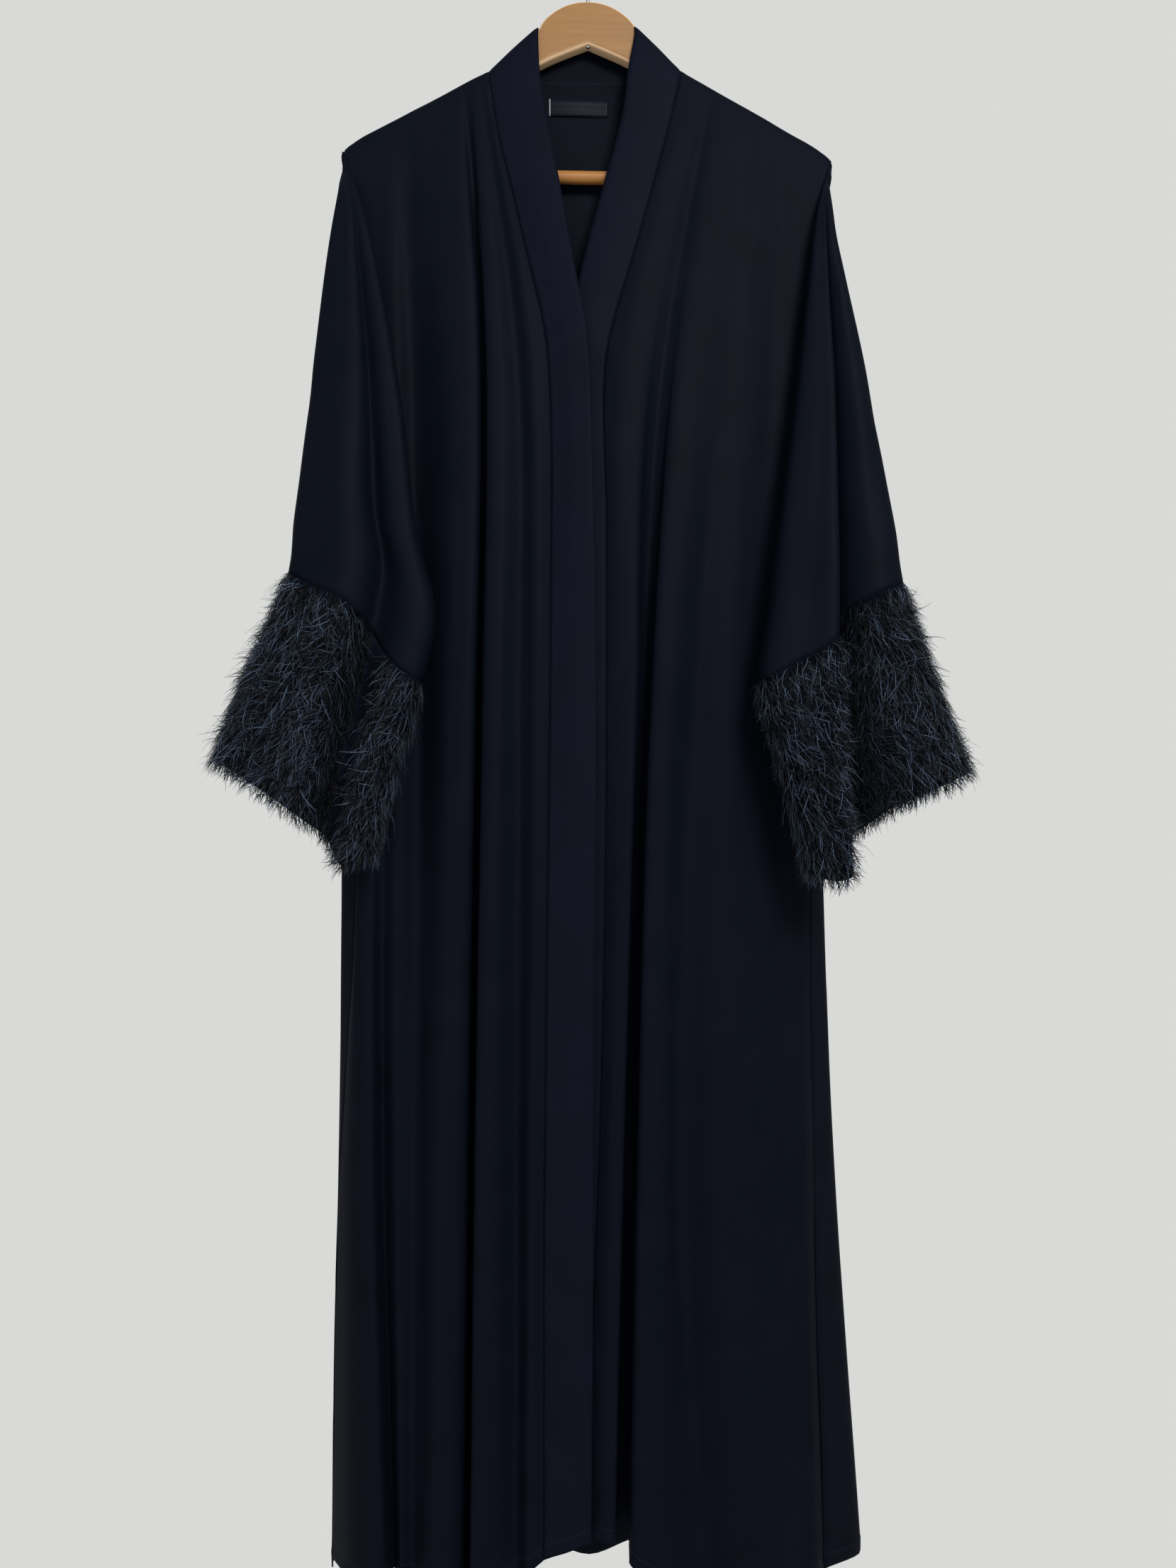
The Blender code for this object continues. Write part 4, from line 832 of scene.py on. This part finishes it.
def sleeve_ring(side, section, face):
    """One section of a sleeve, from its seam round the inner edge, the face and the outer edge to its seam."""
    name, z_out, z_in, z_seam, x_out, x_in, x_seam, y_middle, half, share, fall = section
    outer = Vector((side * x_out, y_middle, z_out))
    inner = Vector((side * x_in, y_middle, z_in))
    if x_seam > 0:
        at_body = name == "underarm"
        start = Vector((side * x_seam, read(SIDES[side], z_seam, 2) - 0.002 if at_body else y_middle + half, z_seam))
        end = start.copy()
    else:
        start, end = armhole_points(side, z_seam)
    ring = [start]
    for share_back in (0.64, 0.192):
        point = inner.lerp(start, share_back)
        point.y = y_middle + half
        ring.append(point)
    ring.append(inner)
    for _, out, roundness, relief, drop, hem_out, hem_drop in face:
        point = inner.lerp(outer, out + (hem_out - out) * fall)
        point.z = z_in + (z_out - z_in) * (drop + (hem_drop - drop) * fall)
        point.y = y_middle - half * roundness - relief * share
        ring.append(point)
    ring.append(outer)
    if end.y > y_middle + half + 0.002:
        ring += [outer.lerp(end, back) + Vector((side * 0.003, 0.0, 0.0)) for back in (0.3, 0.66)]
    else:
        for back, roundness in ((0.125, 0.6), (0.45, 1.0)):
            point = outer.lerp(end, back)
            point.y = y_middle + half * roundness
            ring.append(point)
    ring.append(end)
    return ring


def sleeve_rows(side, sections, face):
    """All rings of a sleeve and its cuff, on smooth curves through its sections."""
    rings = [sleeve_ring(side, section, face) for section in sections]
    rings.insert(0, sleeve_head(side, len(rings[0])))
    rows = [list(ring) for ring in zip(*[smooth_line(list(column), RING_STEPS) for column in zip(*rings)])]
    for row in rows[1:RING_STEPS * UNDERARM_RING]:
        row[0], row[-1] = armhole_points(side, row[0].z)[0], armhole_points(side, row[-1].z)[1]
    for row in rows[RING_STEPS * UNDERARM_RING:]:
        row[0] = row[-1] = row[0].lerp(row[-1], 0.5)
    return [smooth_line(row, SLEEVE_STEPS) for row in rows]


def tube_outward(rows):
    """Out from the middle of a tube of rings, at a point's own height."""
    middles = [sum(row, Vector()) / len(row) for row in rows]
    def outward(point):
        middle = min(middles, key=lambda m: abs(m.z - point.z))
        return Vector((point.x - middle.x, 3 * (point.y - middle.y), 0.0))
    return outward


def sleeve_edges(sections, creases):
    """The creases of the face, fainter ones on the back, and the dip of the seam at the sleeve's end."""
    depths = [(section[1], section[7]) for section in sections]
    def edges(left, right, up, point):
        front = max(0.0, min(1.0, 0.5 + (read(depths, point.z) - point.y) / 0.006))
        shifted = Vector((point.x * 1.03, point.y, point.z + 0.035))
        relief = crease_relief(point, creases) * front + 0.8 * crease_relief(shifted, creases) * (1 - front)
        return relief - 0.0003 * bell(up, 0.002) - 0.0006 * bell(min(left, right), 0.002)
    return edges


sleeve_crepe = crepe("sleeve_crepe", "crepe", "#080B14", "#060910")
cuff_rings, cuffs = {}, {}
for name, side, sections, face, creases, sleeve_cut, sleeve_area in (
    ("left", -1, LEFT_SLEEVE, LEFT_SLEEVE_FACE, LEFT_SLEEVE_CREASES, (0.38, 0.52), 0.091),
    ("right", 1, RIGHT_SLEEVE, RIGHT_SLEEVE_FACE, RIGHT_SLEEVE_CREASES, (0.4, 0.52), 0.089),
):
    rows = sleeve_rows(side, sections, face)
    cut = RING_STEPS * CUFF_RING
    cuff_rings[name] = rows[cut:]
    # the head's edge is tucked in under the shoulder
    tucked = [Vector((p.x - side * 0.0036, 0.8 * p.y, p.z - 0.0014)) for p in rows[0]]
    sleeve = sewn_sheet(
        name + "_sleeve", [tucked] + rows[:cut + 1], tube_outward(rows), (), sleeve_crepe, "sleeve_" + name,
        sleeve_edges(sections, creases), ripple=0.0003,
    )
    cuffs[name] = sewn_sheet(
        name + "_cuff", rows[cut:], tube_outward(rows[cut:]), (), sleeve_crepe, "cuff_" + name, ripple=0.0003
    )

# --------------------
# The eyelash fringe: flat glossy polyester threads, 10 to 25 mm long, caught by one end in narrow strips that are sewn
# round the cuffs one above another, so that each row falls over the next. They lie in swirls, as brushed.
FRINGE_SHARES, FRINGE_PIECE_SPAN = (0.0, 0.26, 0.52, 0.78), 0.26
ROWS_A_PIECE, THREAD_SPACING = 9, 0.00105
THREAD_LENGTH, THREAD_WIDTH, THREAD_LIFT, THREAD_SAG = 0.0165, 0.00075, 0.0062, 0.004
THREAD_RINGS = 4
STRAY_SHARE, GLINT_POWER = 0.09, 5
FOLD_REACH, FOLD_DEPTH = 0.045, 0.018

# flat polyester thread, black and smooth. Its bluish glints are painted into its colour: each thread takes its own
# share of painted glint, more of it towards its tip.
thread = new_material("eyelash_thread", "fringe_thread")
thread_split = add_node(thread, "SeparateXYZ", {0: add_node(thread, "UVMap", uv_map="thread")})
tone = add_node(thread, "Math", {0: thread_split.outputs["X"], 1: thread_split.outputs["Y"]}, operation="MULTIPLY")
thread_glint_colour = mixed(thread, tone, linear("#030406"), "#5C6C84")
finish(thread, Base_Color=thread_glint_colour, Roughness=0.3, Specular_IOR_Level=0.12)


def cuff_ring(rows, share):
    """The ring of the cuff at a share of its way down."""
    place = max(0.0, min(share, 0.9999)) * (len(rows) - 1)
    upper = int(place)
    return [a.lerp(b, place - upper) for a, b in zip(rows[upper], rows[upper + 1])]


def fold_depth(ring, point):
    """How deep a point lies in a fold: 0 on a ridge, 1 where the cloth stands a fold's depth proud on both sides."""
    left = min(p.y for p in ring if -FOLD_REACH < p.x - point.x <= 0)
    right = min(p.y for p in ring if 0 <= p.x - point.x < FOLD_REACH)
    return min(1.0, max(0.0, point.y - max(left, right)) / FOLD_DEPTH)


def add_fringe(name, node, rows, first_share, dice):
    """The threads of one strip and of those close under it, each a thin tapered tube of three sides.

    A call of an operator for each of these thousands of tubes would take minutes, so their faces are listed.
    """
    verts, faces, glint_tones = [], [], []
    outward = tube_outward(rows)
    cuff_drop = (rows[-1][0] - rows[0][0]).length
    for k in range(ROWS_A_PIECE):
        share = first_share + FRINGE_PIECE_SPAN * k / ROWS_A_PIECE
        ring, lower = cuff_ring(rows, share), cuff_ring(rows, share + 0.04)
        if share + 0.04 > 0.99:
            lower = [a + (a - b) for a, b in zip(ring, cuff_ring(rows, share - 0.04))]
        for a, b, c, d in zip(ring, ring[1:], lower, lower[1:]):
            count = max(1, round((b - a).length / THREAD_SPACING + dice.random() - 0.5))
            in_fold = fold_depth(ring, a)
            around = (b - a).normalized()
            for _ in range(count):
                along_ring = dice.random()
                root = a.lerp(b, along_ring)
                down = (c.lerp(d, along_ring) - root).normalized()
                normal = around.cross(down).normalized()
                if normal.dot(outward(root)) < 0:
                    normal = -normal
                # threads down in a fold are pressed flat, and are painted darker for the shade in the fold
                pressed_and_shaded = in_fold if normal.y < 0 else 0.0
                root = root + normal * 0.0008 + down * dice.uniform(-0.003 * min(1.0, 12 * share), 0.003)
                # those behind the cuff lie flat against the body
                crowded = 1 - 0.93 * min(1.0, 1.5 * max(0.0, normal.y))
                swirl = 0.45 + 1.0 * noise.noise(Vector((root.x / 0.04, root.y / 0.06, root.z / 0.04)))
                swirl += 0.4 * noise.noise(Vector((root.x / 0.012, 5.0 + root.y / 0.03, root.z / 0.014)))
                swirl = swirl * (0.4 + 0.6 * min(1.0, 6 * share)) + dice.gauss(0.0, 0.5)
                stray = dice.random() < STRAY_SHARE
                length = THREAD_LENGTH * dice.uniform(0.6, 1.2) * (1.25 if stray else 1.0)
                to_hem = (1.0 - share) * cuff_drop + 0.001 + 0.012 * dice.random() ** 3
                length = min(length, max(0.006, to_hem))
                clump = 0.85 + 0.3 * abs(noise.noise(Vector((root.x / 0.011, 9.0, root.z / 0.012))))
                lift = THREAD_LIFT * crowded * clump * dice.uniform(0.35, 1.2) * (2.4 if stray else 1.0)
                lift *= 1 - 0.35 * pressed_and_shaded
                curl = length * dice.gauss(0.0, 0.34)
                lean = (down * cos(swirl) + around * sin(swirl)).normalized()
                sideways = lean.cross(normal).normalized()
                base = len(verts)
                for j in range(THREAD_RINGS):
                    s = j / (THREAD_RINGS - 1)
                    place = root + lean * (length * s) + normal * (lift * sin(min(1.0, s * 0.85) * pi / 2))
                    place = place + sideways * (curl * s * s) + Vector((0.0, 0.0, -THREAD_SAG * s * s))
                    half = THREAD_WIDTH / 2 * (1 - 0.75 * s ** 1.5)
                    verts += [place + sideways * half, place - sideways * half, place + normal * (half * 0.5)]
                for low in range(base, base + 3 * (THREAD_RINGS - 1), 3):
                    faces += [(low + m, low + n, low + 3 + n, low + 3 + m) for m, n in ((0, 1), (1, 2), (2, 0))]
                top = base + 3 * (THREAD_RINGS - 1)
                faces += [(base + 2, base + 1, base), (top, top + 1, top + 2)]
                # painted glint: a few threads take much of the bright colour, less where a fold paints them into shade
                glint_tones.append(dice.random() ** GLINT_POWER * (1 - 0.9 * pressed_and_shaded))
    tubes = bpy.data.meshes.new("tubes")
    tubes.from_pydata(verts, [], faces)
    values = []
    for loop in tubes.loops:
        number, corner = divmod(loop.vertex_index, 3 * THREAD_RINGS)
        # the second value paints each thread's glint brighter towards its tip
        values += (glint_tones[number], 0.35 + 0.65 * (corner // 3) / (THREAD_RINGS - 1))
    tubes.uv_layers.new(name="thread").data.foreach_set("uv", values)
    shape = bmesh.new()
    shape.from_mesh(tubes)
    bpy.data.meshes.remove(tubes)
    bmesh.ops.recalc_face_normals(shape, faces=shape.faces)
    return add_piece(name, shape, thread, node)


for name, cuff_cut, cuff_area in (("left", (0.42, 0.19), 0.065), ("right", (0.45, 0.21), 0.072)):
    strips = [
        add_fringe(
            "%s_fringe_%d" % (name, number), "fringe_%s_%d" % (name, number), cuff_rings[name], share,
            Random(100 * number + len(name)),
        )
        for number, share in enumerate(FRINGE_SHARES, 1)
    ]

# --------------------
# The stage: a pale floor well below the hem, a pale surround, three soft panels of light and the camera, which stands
# a little to the left of the middle, at the height of the cuffs.
IMAGE_HEIGHT, FOCAL_PIXELS, SENSOR = 2212, 1664, 36.0
CAMERA_DISTANCE, CAMERA_HEIGHT, CAMERA_TURN = 1.125, -0.812, radians(-2.0)
FLOOR_RADIUS, FLOOR_HEIGHT = 0.45, -1.9

# matt painted board: no gloss, faint clouds
floor_finish = new_material("matt_pale_floor")
floor_place = add_node(floor_finish, "TexCoord").outputs["Object"]
floor_speck = add_node(floor_finish, "TexNoise", {"Vector": floor_place, "Scale": 12.0})
finish(floor_finish, Base_Color=mixed(floor_finish, floor_speck, linear("#B4B5B4"), "#AEAFAE"), Roughness=0.9)
ground = bmesh.new()
bmesh.ops.create_circle(ground, cap_ends=True, segments=96, radius=FLOOR_RADIUS)
bmesh.ops.translate(ground, verts=ground.verts, vec=(0.0, 0.0, FLOOR_HEIGHT))
add_object("floor", made_mesh("floor", ground, floor_finish))

surround = bpy.data.worlds.new("pale_surround")
surround.use_nodes = True
surround.node_tree.nodes["Background"].inputs["Color"].default_value = linear("#D9DAD8")
bpy.context.scene.world = surround
bpy.context.scene.view_settings.view_transform = "Standard"

for name, place, aim, size, power in (
    ("window_side", (0.8, -2.3, 0.6), -0.7, 0.8, 80.0),
    ("room_side", (-0.7, -2.2, -1.7), -0.5, 1.4, 14.0),
    ("back_side", (0.6, 1.9, 0.5), -0.8, 1.2, 12.0),
):
    panel = bpy.data.lights.new(name, "AREA")
    panel.size, panel.energy = size, power
    lamp = add_object(name, panel)
    lamp.location = place
    lamp.rotation_euler = (Vector((0.0, 0.0, aim)) - Vector(place)).to_track_quat("-Z", "Y").to_euler()

lens = bpy.data.cameras.new("camera")
lens.sensor_fit = "VERTICAL"
lens.sensor_height = SENSOR
lens.lens = SENSOR * FOCAL_PIXELS / IMAGE_HEIGHT
camera = add_object("camera", lens)
camera.location = (CAMERA_DISTANCE * sin(CAMERA_TURN), -CAMERA_DISTANCE * cos(CAMERA_TURN), CAMERA_HEIGHT)
camera.rotation_euler = (pi / 2, 0.0, CAMERA_TURN)
bpy.context.scene.camera = camera
